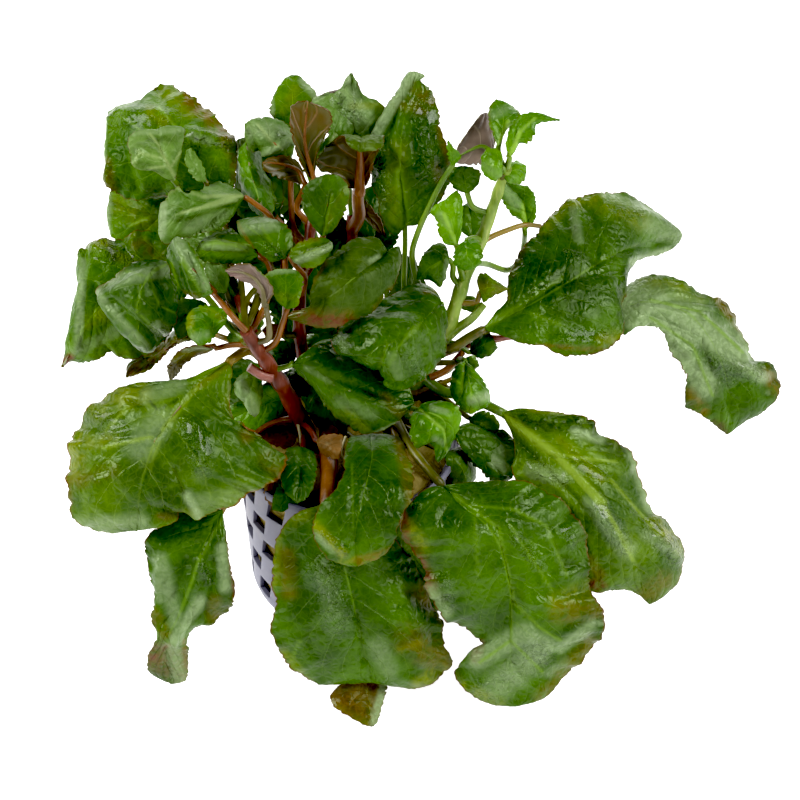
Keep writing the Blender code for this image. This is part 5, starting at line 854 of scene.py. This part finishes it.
# The blade from above: how strong its veins, tints and flecks are, and the cells of its finest veins
bladeFinish = {"coat": 0.03, "shine": 0.34, "tint": (0.80, 1.0, 0.58), "net": 0.10, "sideVeins": 0.20, "midrib": 0.50,
               "markedVeins": 0.80, "flecks": 0.40, "browned": 0.45, "cells": 560.0, "cellBorder": 0.08,
               "wrinkleCoat": 0.30}
underLooks = {
    "mauve": dict(dark=(0.075, 0.055, 0.038), light=(0.220, 0.165, 0.125), vein=(0.32, 0.26, 0.18),
                  cloud=(0.13, 0.055, 0.055)),
    "olive": dict(dark=(0.034, 0.037, 0.0008), light=(0.080, 0.082, 0.0020), vein=(0.27, 0.13, 0.05),
                  cloud=(0.078, 0.042, 0.003)),
    "green": dict(dark=(0.050, 0.075, 0.012), light=(0.140, 0.180, 0.050), vein=(0.30, 0.32, 0.16),
                  cloud=(0.10, 0.07, 0.03)),
}


def veinParts(tree):
    # the blade's own coordinates: vein phase, left-right place (-1 to 1) and place from base to tip
    place = addNode(tree, "ShaderNodeAttribute", {}, attribute_name="veinPlace").outputs["Vector"]
    return addNode(tree, "ShaderNodeSeparateXYZ", {0: place}).outputs


def veinNet(tree, place, scale, width):
    # the finest veins: the borders of small wobbly cells, and how far a spot lies from them
    shake = addNode(tree, "ShaderNodeTexNoise", {"Vector": place, "Scale": 300.0}).outputs["Color"]
    small = addNode(tree, "ShaderNodeVectorMath", {0: shake, "Scale": 0.0016}, operation="SCALE").outputs[0]
    warped = addNode(tree, "ShaderNodeVectorMath", {0: place, 1: small}, operation="ADD").outputs[0]
    cells = addNode(tree, "ShaderNodeTexVoronoi", {"Vector": warped, "Scale": scale}, feature="DISTANCE_TO_EDGE")
    fromEdge = cells.outputs["Distance"]
    return remap(tree, fromEdge, 0.0, width, 1.0, 0.0), fromEdge


def markOf(tree, kind):
    # how strongly a kind of mark covers this spot of the blade
    return addNode(tree, "ShaderNodeAttribute", {}, attribute_name=kind).outputs["Fac"]


def leafTop(name, look):
    # blade from above: greens in patches, a net of paler veins, a thin dark edge, and the marks the leaf asks for
    material, tree, shader = newMaterial(name, look["gloss"], coat=bladeFinish["coat"],
                                         specular=look.get("shine", bladeFinish["shine"]), tint=bladeFinish["tint"])
    place = objectPlace(tree)
    phase, across, along = veinParts(tree)
    aside = sums(tree, "ABSOLUTE", across, 0.0)
    wander = sums(tree, "SUBTRACT", noise(tree, place, 420.0, 2.0), 0.5)
    bent = sums(tree, "ADD", phase, times(tree, wander, 0.22))
    side = remap(tree, sums(tree, "PINGPONG", bent, 0.5), 0.0, 0.05, 1.0, 0.0)
    side = times(tree, side, remap(tree, aside, 0.45, 0.95, 1.0, 0.1))
    middle = remap(tree, aside, 0.0, 0.035, 1.0, 0.0)
    middle = times(tree, middle, remap(tree, along, 0.35, 0.95, 1.0, 0.15))
    net, fromEdge = veinNet(tree, place, bladeFinish["cells"], bladeFinish["cellBorder"])
    patches = remap(tree, noise(tree, place, 70.0, 4.0, 0.6), 0.32, 0.70)
    green = blendColour(tree, patches, look["dark"], look["light"])
    flecks = remap(tree, noise(tree, place, 420.0, 3.0, 0.6), 0.45, 0.75, 0.0, bladeFinish["flecks"])
    green = blendColour(tree, flecks, green, look["dark"])
    edgeTint = times(tree, remap(tree, aside, 0.70, 1.0), remap(tree, noise(tree, place, 55.0), 0.5, 0.75))
    green = paintOver(tree, green, markPaints["stain"], edgeTint, bladeFinish["browned"])
    # the marks have uneven borders, the pale ones, which are painted sheen, softer than the others; shade paints shade
    uneven = remap(tree, noise(tree, place, 330.0, 5.0, 0.65, 0.8), 0.36, 0.58, 0.30, 1.10)
    crinkle = noise(tree, place, 560.0, 2.0, 0.5, 1.4)
    soft = remap(tree, crinkle, 0.35, 0.62, 0.68, 1.0)
    for kind, paint in markPaints.items():
        green = paintOver(tree, green, paint, markOf(tree, kind), soft if kind == "pale" else uneven)
    marked = markOf(tree, "vein")
    for veins, share in ((net, "net"), (side, "sideVeins"), (middle, "midrib"), (marked, "markedVeins")):
        green = paintOver(tree, green, look["vein"], veins, bladeFinish[share])
    rim = times(tree, remap(tree, aside, 0.965, 1.0), remap(tree, noise(tree, place, 140.0), 0.3, 0.55))
    wrinkled = markOf(tree, "wrinkle")
    rough = remap(tree, noise(tree, place, 120.0), 0.3, 0.7, look["gloss"] - 0.06, look["gloss"] + 0.14)
    normal = relief(
        tree,
        (noise(tree, place, 170.0, 2.0, 0.5, 1.0), 0.22, 0.0009),
        (times(tree, crinkle, wrinkled), 1.0, 0.0014),
        (remap(tree, fromEdge, 0.0, 0.42), 0.50, 0.00020),      # pillows between the finest veins
        (sums(tree, "SUBTRACT", 1.0, side), 0.5, 0.00014),
        (marked, 0.5, 0.00025),
        (noise(tree, place, 1500.0, 2.0), 0.35, 0.00010))
    give(tree, shader, {
        "Base Color": blendColour(tree, rim, green, look["edge"]),
        "Roughness": sums(tree, "SUBTRACT", rough, times(tree, wrinkled, 0.12)),
        "Coat Weight": times(tree, wrinkled, bladeFinish["wrinkleCoat"]),
        "Normal": normal})
    return material


def leafUnder(name, look):
    # blade from below: mauve to grey-green with raised pale veins
    material, tree, shader = newMaterial(name, 0.42, coat=0.1, coatRoughness=0.25, specular=0.3)
    place = objectPlace(tree)
    phase, across = veinParts(tree)[:2]
    side = remap(tree, sums(tree, "PINGPONG", phase, 0.5), 0.0, 0.07, 1.0, 0.0)
    middle = remap(tree, sums(tree, "ABSOLUTE", across, 0.0), 0.0, 0.05, 1.0, 0.0)
    patches = remap(tree, noise(tree, place, 90.0, 4.0), 0.32, 0.7)
    colour = blendColour(tree, patches, look["dark"], look["light"])
    colour = blendColour(tree, remap(tree, noise(tree, place, 45.0), 0.5, 0.75), colour, look["cloud"])
    for veins, share in ((side, 0.35), (middle, 0.7)):
        colour = paintOver(tree, colour, look["vein"], veins, share)
    normal = relief(tree, (side, 0.5, 0.00015), (noise(tree, place, 900.0, 3.0), 0.3, 0.0001))
    give(tree, shader, {"Base Color": colour, "Normal": normal})
    return material


def stalkSkin(name, low, high, streak, roughness=0.40):
    # petioles and stems: two colours that run into each other, with fine lengthwise streaks
    material, tree, shader = newMaterial(name, roughness, coat=0.06, coatRoughness=0.15, specular=0.35)
    place = objectPlace(tree)
    body = blendColour(tree, remap(tree, noise(tree, place, 110.0, 3.0), 0.3, 0.7), low, high)
    stretched = addNode(tree, "ShaderNodeMapping", {"Vector": place, "Scale": (1.0, 1.0, 0.18)}).outputs[0]
    lines = noise(tree, stretched, 1400.0, 3.0)
    body = blendColour(tree, remap(tree, lines, 0.5, 0.8, 0.0, 0.6), body, streak)
    give(tree, shader, {"Base Color": body, "Normal": relief(tree, (lines, 0.35, 0.00012))})
    return material


topSkins = {kind: leafTop("leafTop" + kind.capitalize(), look) for kind, look in leafLooks.items()}
underSkins = {kind: leafUnder("leafUnder" + kind.capitalize(), look) for kind, look in underLooks.items()}
stalkSkins = {
    "green": stalkSkin("petioleGreen", (0.055, 0.115, 0.004), (0.140, 0.235, 0.018), (0.19, 0.26, 0.04)),
    "olive": stalkSkin("petioleOlive", (0.085, 0.065, 0.005), (0.220, 0.160, 0.022), (0.28, 0.14, 0.04)),
    "rust": stalkSkin("petioleRust", (0.085, 0.028, 0.003), (0.21, 0.080, 0.012), (0.30, 0.16, 0.04)),
    "pink": stalkSkin("petiolePink", (0.16, 0.05, 0.035), (0.32, 0.13, 0.10), (0.42, 0.26, 0.18)),
    "red": stalkSkin("stemRed", (0.060, 0.012, 0.005), (0.180, 0.040, 0.020), (0.30, 0.10, 0.06)),
    "root": stalkSkin("rootSkin", (0.42, 0.36, 0.16), (0.75, 0.70, 0.45), (0.85, 0.82, 0.62), 0.5),
    "dusky": stalkSkin("petioleDusky", (0.055, 0.048, 0.016), (0.140, 0.120, 0.050), (0.20, 0.17, 0.09)),
    "bronze": stalkSkin("petioleBronze", (0.045, 0.050, 0.003), (0.120, 0.120, 0.010), (0.16, 0.09, 0.02)),
    "stemGreen": stalkSkin("stemGreen", (0.085, 0.15, 0.012), (0.24, 0.33, 0.055), (0.40, 0.42, 0.14)),
}
print("finishes ready")


def onlySelect(*things):
    bpy.ops.object.select_all(action="DESELECT")
    for thing in things:
        thing.select_set(True)
    bpy.context.view_layer.objects.active = things[0]


def settle(thing, node, angle=55):
    # smooth the finished piece, hang it under the root body and hide the CAD node that it stands for
    onlySelect(thing)
    bpy.ops.object.shade_smooth_by_angle(angle=math.radians(angle))
    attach(thing, "root")
    if node:
        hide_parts(node)


def gridPiece(name, rows, columns):
    # a flat grid to bend into a piece, and its vertices' places along both ways, from 0 to 1
    bpy.ops.object.select_all(action="DESELECT")
    bpy.ops.mesh.primitive_grid_add(x_subdivisions=rows, y_subdivisions=columns, size=2)
    made = bpy.context.view_layer.objects.active
    made.name = made.data.name = name
    flat = np.empty(len(made.data.vertices) * 3)
    made.data.vertices.foreach_get("co", flat)
    return made, (flat.reshape(-1, 3)[:, :2].T + 1) / 2


def bend(made, points):
    # the grid's vertices to points in mm
    made.data.vertices.foreach_set("co", (points * 0.001).ravel())
    made.data.update()


def weld(made, threshold):
    # close the seams of a bent grid and turn its faces outward
    onlySelect(made)
    bpy.ops.object.mode_set(mode="EDIT")
    bpy.ops.mesh.select_all(action="SELECT")
    bpy.ops.mesh.remove_doubles(threshold=threshold)
    bpy.ops.mesh.normals_make_consistent(inside=False)
    bpy.ops.object.mode_set(mode="OBJECT")


def inScene(name, data):
    made = bpy.data.objects.new(name, data)
    bpy.context.scene.collection.objects.link(made)
    return made


def tube(name, points, radii, material, roundness=3):
    # a round tube along points in mm, made a mesh
    curve = bpy.data.curves.new(name, "CURVE")
    curve.dimensions = "3D"
    curve.bevel_depth = 0.001
    curve.bevel_resolution = roundness
    curve.use_fill_caps = True
    line = curve.splines.new("POLY")
    line.points.add(len(points) - 1)
    line.points.foreach_set("co", np.column_stack((points * 0.001, np.ones(len(points)))).ravel())
    line.points.foreach_set("radius", np.asarray(radii, float))
    curve.materials.append(material)
    onlySelect(inScene(name, curve))
    bpy.ops.object.convert(target="MESH")
    return bpy.context.view_layer.objects.active


# What all leaves share, lengths in mm; a leaf's own shape or stalk stands in its row
leafShape = {
    "thickness": 0.42, "stalk": 1.4, "tipRadius": 0.16,
    "toothPitch": 1.9, "toothDepth": 0.55, "toothReach": 6, "lobes": 0.15,
    "bulge": 0.07, "curl": 0.05,        # shares of the half width
    "ruffle": 0.045, "ruffleLength": 9.0, "fineWaves": 0.09, "broadWaves": 0.30,
    "veinSpacing": 5.6, "veinDepth": 0.18, "veinWidth": 0.55, "ribDepth": 1.4, "ribWidth": 0.8, "quilt": 0.17,
    "rowStep": 0.40, "rows": (26, 124), "columnStep": 0.50, "columns": (7, 29),
}


def ripple(x, y, seed):
    # smooth uneven waves between -1 and 1
    turn = np.random.default_rng(seed).uniform(0, 2 * math.pi, 6)
    return (np.sin(1.0 * x + 0.4 * y + turn[0]) + np.sin(-0.7 * x + 1.1 * y + turn[1])
            + np.sin(1.7 * x - 0.6 * y + turn[2]) + np.sin(0.5 * x + 1.9 * y + turn[3])
            + 0.6 * np.sin(2.7 * x + 1.3 * y + turn[4]) + 0.6 * np.sin(-1.9 * x + 2.6 * y + turn[5])) / 5.2


def runOf(points):
    # how far each point lies along its path
    return np.concatenate(([0.0], np.cumsum(np.linalg.norm(np.diff(points, axis=0), axis=1))))


def marginPath(listed, midrib, half):
    points = spots(listed)
    first = midrib[0] + unit(points[0] - midrib[0]) * half
    last = midrib[-1] + unit(points[-1] - midrib[-1]) * 0.25
    return np.vstack((first, points, last))


def toothed(margin, middle, shape, seed):
    # how far the margin's fine scallops, uneven in size, on shallow lobes, reach out of it
    run = runOf(margin)
    outward = unit(margin - middle)
    ends = np.sqrt(np.clip(np.sin(math.pi * np.linspace(0, 1, len(run))), 0, 1))
    place = run + 0.5 * np.sin(run * 0.9 + seed) + 0.3 * np.sin(run * 2.1 + 2 * seed)
    wave = (np.abs(np.sin(math.pi * place / shape["toothPitch"])) - 0.6) * (1 + 0.45 * np.sin(run * 0.75 + 3 * seed))
    lobes = np.sin(run * 0.62 + 5 * seed) + 0.7 * np.sin(run * 1.13 + seed)
    size = min(1.0, run[-1] / 40)
    return outward * (ends * (shape["toothDepth"] * wave + size * shape["lobes"] * lobes))[:, None], run


def strokeGap(pixels, line):
    # how far pixels of the photograph lie from a stroke between two of its spots
    fromColumn, fromRow, toColumn, toRow = line
    run = np.array((toColumn - fromColumn, toRow - fromRow), float)
    share = ((pixels[0] - fromColumn) * run[0] + (pixels[1] - fromRow) * run[1]) / max(run @ run, 1e-6)
    share = np.clip(share, 0, 1)
    return np.hypot(pixels[0] - fromColumn - share * run[0], pixels[1] - fromRow - share * run[1])


def bladeSurface(leaf, midrib, shape, rows, columns, seed):
    # the blade's points, its upward normals, each point's place among the veins, and how strong its marks are
    along = np.linspace(0, 1, rows + 1)
    steps = np.linspace(-1, 1, columns + 1)
    across = np.sign(steps) * np.abs(steps) ** 1.2          # finer near the midrib
    middle = smoothPath(midrib, along)
    left = smoothPath(marginPath(leaf["left"], midrib, shape["stalk"] / 2), along)
    right = smoothPath(marginPath(leaf["right"], midrib, shape["stalk"] / 2), along)
    leftTeeth, leftRun = toothed(left, middle, shape, seed)
    rightTeeth, rightRun = toothed(right, middle, shape, seed + 0.5)
    onLeft = (across > 0)[None, :, None]
    away = np.abs(across)[None, :, None]
    edge = np.where(onLeft, left[:, None, :], right[:, None, :])
    teeth = np.where(onLeft, leftTeeth[:, None, :], rightTeeth[:, None, :])
    run = np.where(across[None, :] > 0, leftRun[:, None], rightRun[:, None])
    points = middle[:, None, :] + (edge - middle[:, None, :]) * away + teeth * away ** shape["toothReach"]
    normals = unit(np.cross(np.gradient(points, axis=0), np.gradient(points, axis=1)))
    width = np.linalg.norm(edge - middle[:, None, :], axis=2)
    length = runOf(middle)
    size = length[-1]
    out = np.abs(across)[None, :] * np.ones((rows + 1, 1))
    reach = out * width
    # side veins leave the midrib in turn and sweep towards the tip
    pairs = max(3, round(size / shape["veinSpacing"]))
    sweep = along[:, None] - 0.30 * out ** 1.15
    phase = pairs * sweep + np.where(across > 0, 0.0, 0.5)[None, :] * np.clip(out * 12, 0, 1)
    toVein = np.abs(phase - np.round(phase))
    ends = np.clip(np.sin(math.pi * along), 0, 1)[:, None] ** 0.5
    # each half bulges between midrib and margin, and the margin curls down and ruffles
    lift = shape["bulge"] * width * 4 * out * (1 - out)
    lift -= shape["curl"] * width * out ** 3
    phaseShift = np.where(across > 0, 0.0, 2.1)[None, :] + seed
    lift += shape["ruffle"] * width * out ** 3 * ends * (
        np.sin(2 * math.pi * run / shape["ruffleLength"] + phaseShift)
        + 0.5 * np.sin(2 * math.pi * run / (0.43 * shape["ruffleLength"]) + 2 * phaseShift))
    # sunk veins, pillows between them, and slow waves; all are weaker on small leaves
    scale = min(1.0, size / 22)
    besideVein = np.exp(-(toVein * size / pairs / shape["veinWidth"]) ** 2)
    besideRib = np.exp(-(reach / shape["ribWidth"]) ** 2)
    lift -= scale * shape["veinDepth"] * besideVein * (1 - 0.55 * out)
    lift -= scale * shape["ribDepth"] * shape["veinDepth"] * besideRib * (1 - 0.6 * along[:, None])
    pillow = np.sin(math.pi * np.clip(toVein * 2, 0, 1) / 2) * (0.45 + 0.55 * np.sin(reach * 1.5 + phase * 2.2) ** 2)
    lift += scale * shape["quilt"] * pillow * np.clip(out * 3, 0, 1) * ends
    flatX = length[:, None] * np.ones_like(out)
    flatY = reach * np.sign(across)[None, :]
    lift += scale * shape["fineWaves"] * ripple(flatX * 1.3, flatY * 1.3, seed) * ends
    lift += scale * shape["broadWaves"] * ripple(flatX * 0.45, flatY * 0.45, seed + 7) * ends
    pixels = pixelsOf(points)
    for *line, wide, height in leaf.get("folds", ()):
        lift += height * np.exp(-(strokeGap(pixels, line) / wide) ** 2) * np.clip(1.6 * ends, 0, 1)
    points = points + normals * lift[:, :, None]
    pixels = pixelsOf(points)
    marks = {}
    for kind, strokes in leaf.get("marks", {}).items():
        marks[kind] = np.zeros(out.shape)
        for *line, wide, amount in strokes:
            marks[kind] = np.maximum(marks[kind], amount * np.exp(-(strokeGap(pixels, line) / wide) ** 3))
    place = np.stack((phase, across[None, :] * np.ones_like(out), along[:, None] * np.ones_like(out)), axis=2)
    return points, normals, place, marks


def stemPoint(node, place):
    return smoothPath(spots(stems[node]["path"]), np.array([place]))[0]


def makeLeaf(name, leaf, seed, node=None):
    shape = {**leafShape, **leaf.get("shape", {}), "stalk": leaf.get("stalk", leafShape["stalk"])}
    midrib = spots(leaf["midrib"])
    size = np.linalg.norm(np.diff(midrib, axis=0), axis=1).sum()
    centre = midrib[len(midrib) // 2]
    wide = max(np.linalg.norm(spots(leaf[side]) - centre, axis=1).max() for side in ("left", "right"))
    rows = int(np.clip(size / shape["rowStep"], *shape["rows"]))
    columns = 2 * int(np.clip(wide / shape["columnStep"], *shape["columns"]))
    points, normals, place, marks = bladeSurface(leaf, midrib, shape, rows, columns, seed)
    blade, (down, aside) = gridPiece(name, rows, columns)
    row = np.rint(down * rows).astype(int)
    column = np.rint(aside * columns).astype(int)
    bend(blade, points[row, column])
    veins = blade.data.attributes.new("veinPlace", "FLOAT_VECTOR", "POINT")
    veins.data.foreach_set("vector", place[row, column].ravel())
    for kind, strength in marks.items():
        layer = blade.data.attributes.new(kind, "FLOAT", "POINT")
        layer.data.foreach_set("value", strength[row, column])
    top = topSkins[leaf["look"]]
    under = underSkins[leaf.get("under", "green")]
    stalkMaterial = stalkSkins[leaf.get("stalkLook", "green" if node else "bronze")]
    for material in (top, under, top, stalkMaterial):
        blade.data.materials.append(material)
    wall = blade.modifiers.new("thickness", "SOLIDIFY")
    wall.thickness = shape["thickness"] * 0.001
    wall.offset = 0.0
    wall.material_offset = 1
    wall.material_offset_rim = 2
    onlySelect(blade)
    bpy.ops.object.modifier_apply(modifier=wall.name)
    # the petiole runs out of the stem and on under the blade as its midrib
    half = shape["stalk"] / 2
    stalk = np.vstack([stemPoint(leaf["stem"], leaf["at"]), *(spot(*each) for each in leaf.get("petiole", ())),
                       midrib[0]])
    outer = smoothPath(stalk, np.linspace(0, 1, 7 * len(stalk)))[:-1]
    count = max(10, rows // 2)
    picks = np.linspace(0, rows * 0.93, count).astype(int)
    outerRadii = np.linspace(half * 1.12, half * 0.92, len(outer))
    ribRadii = np.linspace(half * 0.92, shape["tipRadius"], count)
    sunk = (ribRadii * (0.8 + 0.14 * ribRadii))[:, None]
    rib = points[picks, columns // 2] - normals[picks, columns // 2] * sunk
    petiole = tube(name + "Petiole", np.vstack((outer, rib)), np.concatenate((outerRadii, ribRadii)), stalkMaterial)
    onlySelect(blade, petiole)
    bpy.ops.object.join()
    settle(blade, node)


def camelName(node):
    words = node.split("_")
    return words[0] + "".join(word.capitalize() for word in words[1:])


# How far a stem's radius waves, and its knots: shares of the radius, and turns for each mm
stemShape = {"steps": 60, "roundness": 5, "waves": 0.05, "waveTurn": 0.9, "knots": 0.10, "knotTurn": 0.35}


def makeStem(node, number):
    stem = stems[node]
    steps = np.linspace(0, 1, stemShape["steps"])
    points = smoothPath(spots(stem["path"]), steps)
    low, high = stem["radii"]
    run = steps * np.linalg.norm(np.diff(points, axis=0), axis=1).sum()
    waves = stemShape["waves"] * np.sin(run * stemShape["waveTurn"] + number)
    knots = stemShape["knots"] * np.abs(np.sin(run * stemShape["knotTurn"] + number)) ** 8
    radii = (low + (high - low) * steps) * (1 + waves + knots)
    made = tube(camelName(node), points, radii, stalkSkins[stem["look"]], stemShape["roundness"])
    settle(made, node)


for number, node in enumerate(stems):
    makeStem(node, number)
print("stems made:", len(stems))
for number, (node, leaf) in enumerate(leaves.items()):
    makeLeaf(camelName(node), leaf, number, node)
print("leaves made:", len(leaves))
innerFirst = 60         # the number that the inner leaves' ripples count on from
for number, (name, leaf) in enumerate(innerLeaves.items(), innerFirst):
    makeLeaf(name, leaf, number)
print("inner leaves made:", len(innerLeaves))
for name, (listed, low, high, skin) in twigs.items():
    steps = np.linspace(0, 1, 10 * len(listed))
    line = smoothPath(spots(listed), steps)
    settle(tube(name, line, low + (high - low) * steps, stalkSkins[skin]), None)
print("roots and bare stalks made:", len(twigs))

# The net pot: sizes in mm, the lattice's turn in degrees for each mm of height
pot = {"height": 48.0, "rim": 27.4, "top": 26.3, "foot": 23.8, "base": 19.5, "wall": 1.2, "softEdge": 0.22,
       "windows": 16, "rows": 5, "lowest": 6.5, "pitch": 7.8, "windowHeight": 5.4, "slant": 0.55, "perWindow": 3,
       "colour": (0.10, 0.10, 0.15), "grime": (0.16, 0.15, 0.17), "weld": 0.01}


def wallRadius(height):
    return pot["foot"] + (pot["top"] - pot["foot"]) * (height - pot["lowest"]) / (pot["height"] - pot["lowest"])


def potSkin():
    material, tree, shader = newMaterial("potPlastic", 0.38, specular=0.5)
    place = objectPlace(tree)
    grime = remap(tree, noise(tree, place, 90.0, 4.0), 0.45, 0.75)
    give(tree, shader, {"Base Color": paintOver(tree, pot["colour"], pot["grime"], grime, 0.45),
                        "Normal": relief(tree, (noise(tree, place, 1100.0, 2.0), 0.25, 0.00006))})
    return material


def potProfile():
    # from the base's middle up to the rim: radius, height, and whether windows start there
    top = pot["height"]
    profile = [(0.0, 0.0, False), (10.0, 0.0, False), (pot["base"], 0.0, False), (pot["base"] + 1.3, 0.3, False),
               (22.2, 1.5, False), (23.1, 3.2, False), (wallRadius(5.0), 5.0, False)]
    for number in range(pot["rows"]):
        low = pot["lowest"] + number * pot["pitch"]
        levels = [(low + pot["windowHeight"] * step / 4, True) for step in range(4)]
        levels.append((low + pot["windowHeight"], False))
        levels.append((low + (pot["windowHeight"] + pot["pitch"]) / 2, False))
        profile += [(wallRadius(height), height, window) for height, window in levels]
    profile += [(wallRadius(top - 2.7), top - 2.7, False), (pot["rim"] - 0.5, top - 2.5, False),
                (pot["rim"], top - 2.1, False), (pot["rim"], top - 0.5, False), (pot["rim"] - 0.3, top, False)]
    return profile


def makePot():
    profile = potProfile()
    sides = pot["windows"] * 2 * pot["perWindow"]
    made, (around, upward) = gridPiece("netPot", sides, len(profile) - 1)
    step = np.rint(around * sides).astype(int)
    level = np.rint(upward * (len(profile) - 1)).astype(int)
    radius = np.array([each[0] for each in profile])[level]
    height = np.array([each[1] for each in profile])[level]
    turn = step * 2 * math.pi / sides + np.radians(pot["slant"] * height)
    bend(made, np.column_stack((radius * np.cos(turn), radius * np.sin(turn), height)))
    # windows: every other stretch of each row, shifted by one stretch from row to row
    chosen = []
    for face in made.data.polygons:
        low = min(level[vertex] for vertex in face.vertices)
        stretch = min(step[vertex] for vertex in face.vertices) // pot["perWindow"]
        row = int((profile[low][1] - pot["lowest"]) / pot["pitch"] + 0.01)
        chosen.append(profile[low][2] and (stretch + row) % 2 == 0)
    onlySelect(made)
    bpy.ops.object.mode_set(mode="EDIT")
    bpy.ops.mesh.select_mode(type="FACE")
    bpy.ops.object.mode_set(mode="OBJECT")
    made.data.polygons.foreach_set("select", chosen)
    bpy.ops.object.mode_set(mode="EDIT")
    bpy.ops.mesh.delete(type="FACE")
    bpy.ops.object.mode_set(mode="OBJECT")
    weld(made, pot["weld"] * 0.001)
    wall = made.modifiers.new("wall", "SOLIDIFY")
    wall.thickness = pot["wall"] * 0.001
    wall.offset = -1.0
    soft = made.modifiers.new("softEdges", "BEVEL")
    soft.width = pot["softEdge"] * 0.001
    soft.segments = 2
    soft.limit_method = "ANGLE"
    soft.angle_limit = math.radians(40)
    for modifier in (wall, soft):
        bpy.ops.object.modifier_apply(modifier=modifier.name)
    made.data.materials.append(potSkin())
    settle(made, "net_pot", 35)


makePot()
print("pot made")

# The plug of mineral wool: sizes in mm
wool = {"top": 44.0, "bottom": 1.6, "inset": 1.75, "footRadius": 18.5, "sides": 120, "rings": 26, "capRings": 8,
        "roughness": 0.35, "weld": 0.02,
        "dark": (0.11, 0.080, 0.020), "light": (0.50, 0.40, 0.11), "fibres": (0.55, 0.45, 0.25)}


def woolSkin():
    material, tree, shader = newMaterial("mineralWool", 0.9, specular=0.25)
    place = objectPlace(tree)
    clumps = noise(tree, place, 160.0, 5.0, 0.65, 0.6)
    fibres = noise(tree, place, 1800.0, 4.0, 0.7, 2.0)
    colour = blendColour(tree, remap(tree, clumps, 0.35, 0.65), wool["dark"], wool["light"])
    colour = blendColour(tree, remap(tree, fibres, 0.5, 0.75, 0.0, 0.5), colour, wool["fibres"])
    give(tree, shader, {"Base Color": colour, "Normal": relief(tree, (clumps, 0.8, 0.0009), (fibres, 0.8, 0.0004))})
    return material


def makeWool():
    bottom, top, caps = wool["bottom"], wool["top"], wool["capRings"]
    heights = np.concatenate(([bottom], np.linspace(bottom + 0.2, top - 0.8, wool["rings"]), [top]))
    outer = [min(wallRadius(max(height, pot["lowest"])), wool["footRadius"] + height * 0.9) - wool["inset"]
             for height in heights]
    radii = np.concatenate((np.linspace(0.0, outer[0], caps, endpoint=False), outer,
                            np.linspace(outer[-1], 0.0, caps + 1)[1:]))
    levels = np.concatenate((np.full(caps, bottom), heights, np.full(caps, top)))
    made, (around, upward) = gridPiece("growingMedium", wool["sides"], len(radii) - 1)
    turn = 2 * math.pi * around
    level = np.rint(upward * (len(radii) - 1)).astype(int)
    radius = radii[level]
    height = levels[level]
    rough = wool["roughness"] * ripple(radius * np.cos(turn) * 0.9, radius * np.sin(turn) * 0.9 + height * 0.7, 5)
    onTop = height >= top - 0.01
    height = height + np.where(onTop, np.minimum(rough * 1.6 - 0.4, 0.0), 0.0)
    radius = np.where(onTop, radius, radius + np.minimum(rough, 0.0) * (radius > 1))
    bend(made, np.column_stack((radius * np.cos(turn), radius * np.sin(turn), height)))
    weld(made, wool["weld"] * 0.001)
    made.data.materials.append(woolSkin())
    settle(made, "growing_medium", 80)


makeWool()
print("growing medium made")

# The studio: floor, soft lights and the camera. Each light: its place and what it looks at in m, width, height, power
studio = {
    "floor": (0.95, 0.95, 0.95), "floorCloud": (0.94, 0.94, 0.94), "floorGlow": 0.80, "floorSize": 8.0,
    "white": (1.0, 1.0, 1.0), "world": 0.08, "blackLevel": 0.023,
    "lights": {
        "leftLight": ((-0.95, -0.10, 0.85), (0.01, 0.0, 0.05), 0.50, 0.60, 17.0),
        "rightLight": ((0.95, -0.25, 0.85), (0.01, 0.0, 0.05), 0.50, 0.60, 16.0),
        "frontLight": ((0.0, -1.10, 0.60), (0.01, 0.0, 0.05), 0.60, 0.40, 3.0),
        "backWall": ((0.05, 1.30, 0.42), (0.01, 0.0, 0.08), 1.80, 0.60, 15.0),
    },
}


def floorSkin():
    material, tree, shader = newMaterial("paleFloor", 0.7, specular=0.1)
    clouds = remap(tree, noise(tree, objectPlace(tree), 6.0), 0.3, 0.7)
    give(tree, shader, {"Base Color": blendColour(tree, clouds, studio["floor"], studio["floorCloud"]),
                        "Emission Color": studio["white"], "Emission Strength": studio["floorGlow"]})
    return material


def makeStudio():
    scene = bpy.context.scene
    bpy.ops.object.select_all(action="DESELECT")
    bpy.ops.mesh.primitive_plane_add(size=studio["floorSize"], location=(0, 0, 0))
    floor = bpy.context.view_layer.objects.active
    floor.name = "floor"
    floor.data.materials.append(floorSkin())
    world = bpy.data.worlds.new("studio")
    world.use_nodes = True
    give(world.node_tree, world.node_tree.nodes["Background"], {"Color": studio["white"], "Strength": studio["world"]})
    scene.world = world
    picture = scene.view_settings
    picture.view_transform = "Standard"
    picture.use_curve_mapping = True
    picture.curve_mapping.black_level = (studio["blackLevel"],) * 3
    picture.curve_mapping.update()
    for name, (place, target, width, height, power) in studio["lights"].items():
        light = bpy.data.lights.new(name, "AREA")
        light.shape = "RECTANGLE"
        light.size = width
        light.size_y = height
        light.energy = power
        lamp = inScene(name, light)
        aim = np.array(target) - np.array(place)
        lamp.location = place
        lamp.rotation_euler = (math.acos(-unit(aim)[2]), 0.0, math.atan2(aim[1], aim[0]) - math.pi / 2)
    lens = bpy.data.cameras.new("photoView")
    lens.lens = view["lens"]
    lens.sensor_width = view["sensor"]
    lens.clip_start = 0.01
    camera = inScene("photoView", lens)
    camera.location = viewAxes()[0] * 0.001
    camera.rotation_euler = (math.pi / 2 - math.radians(view["elevation"]), 0.0, 0.0)
    scene.camera = camera


makeStudio()
print("studio ready")
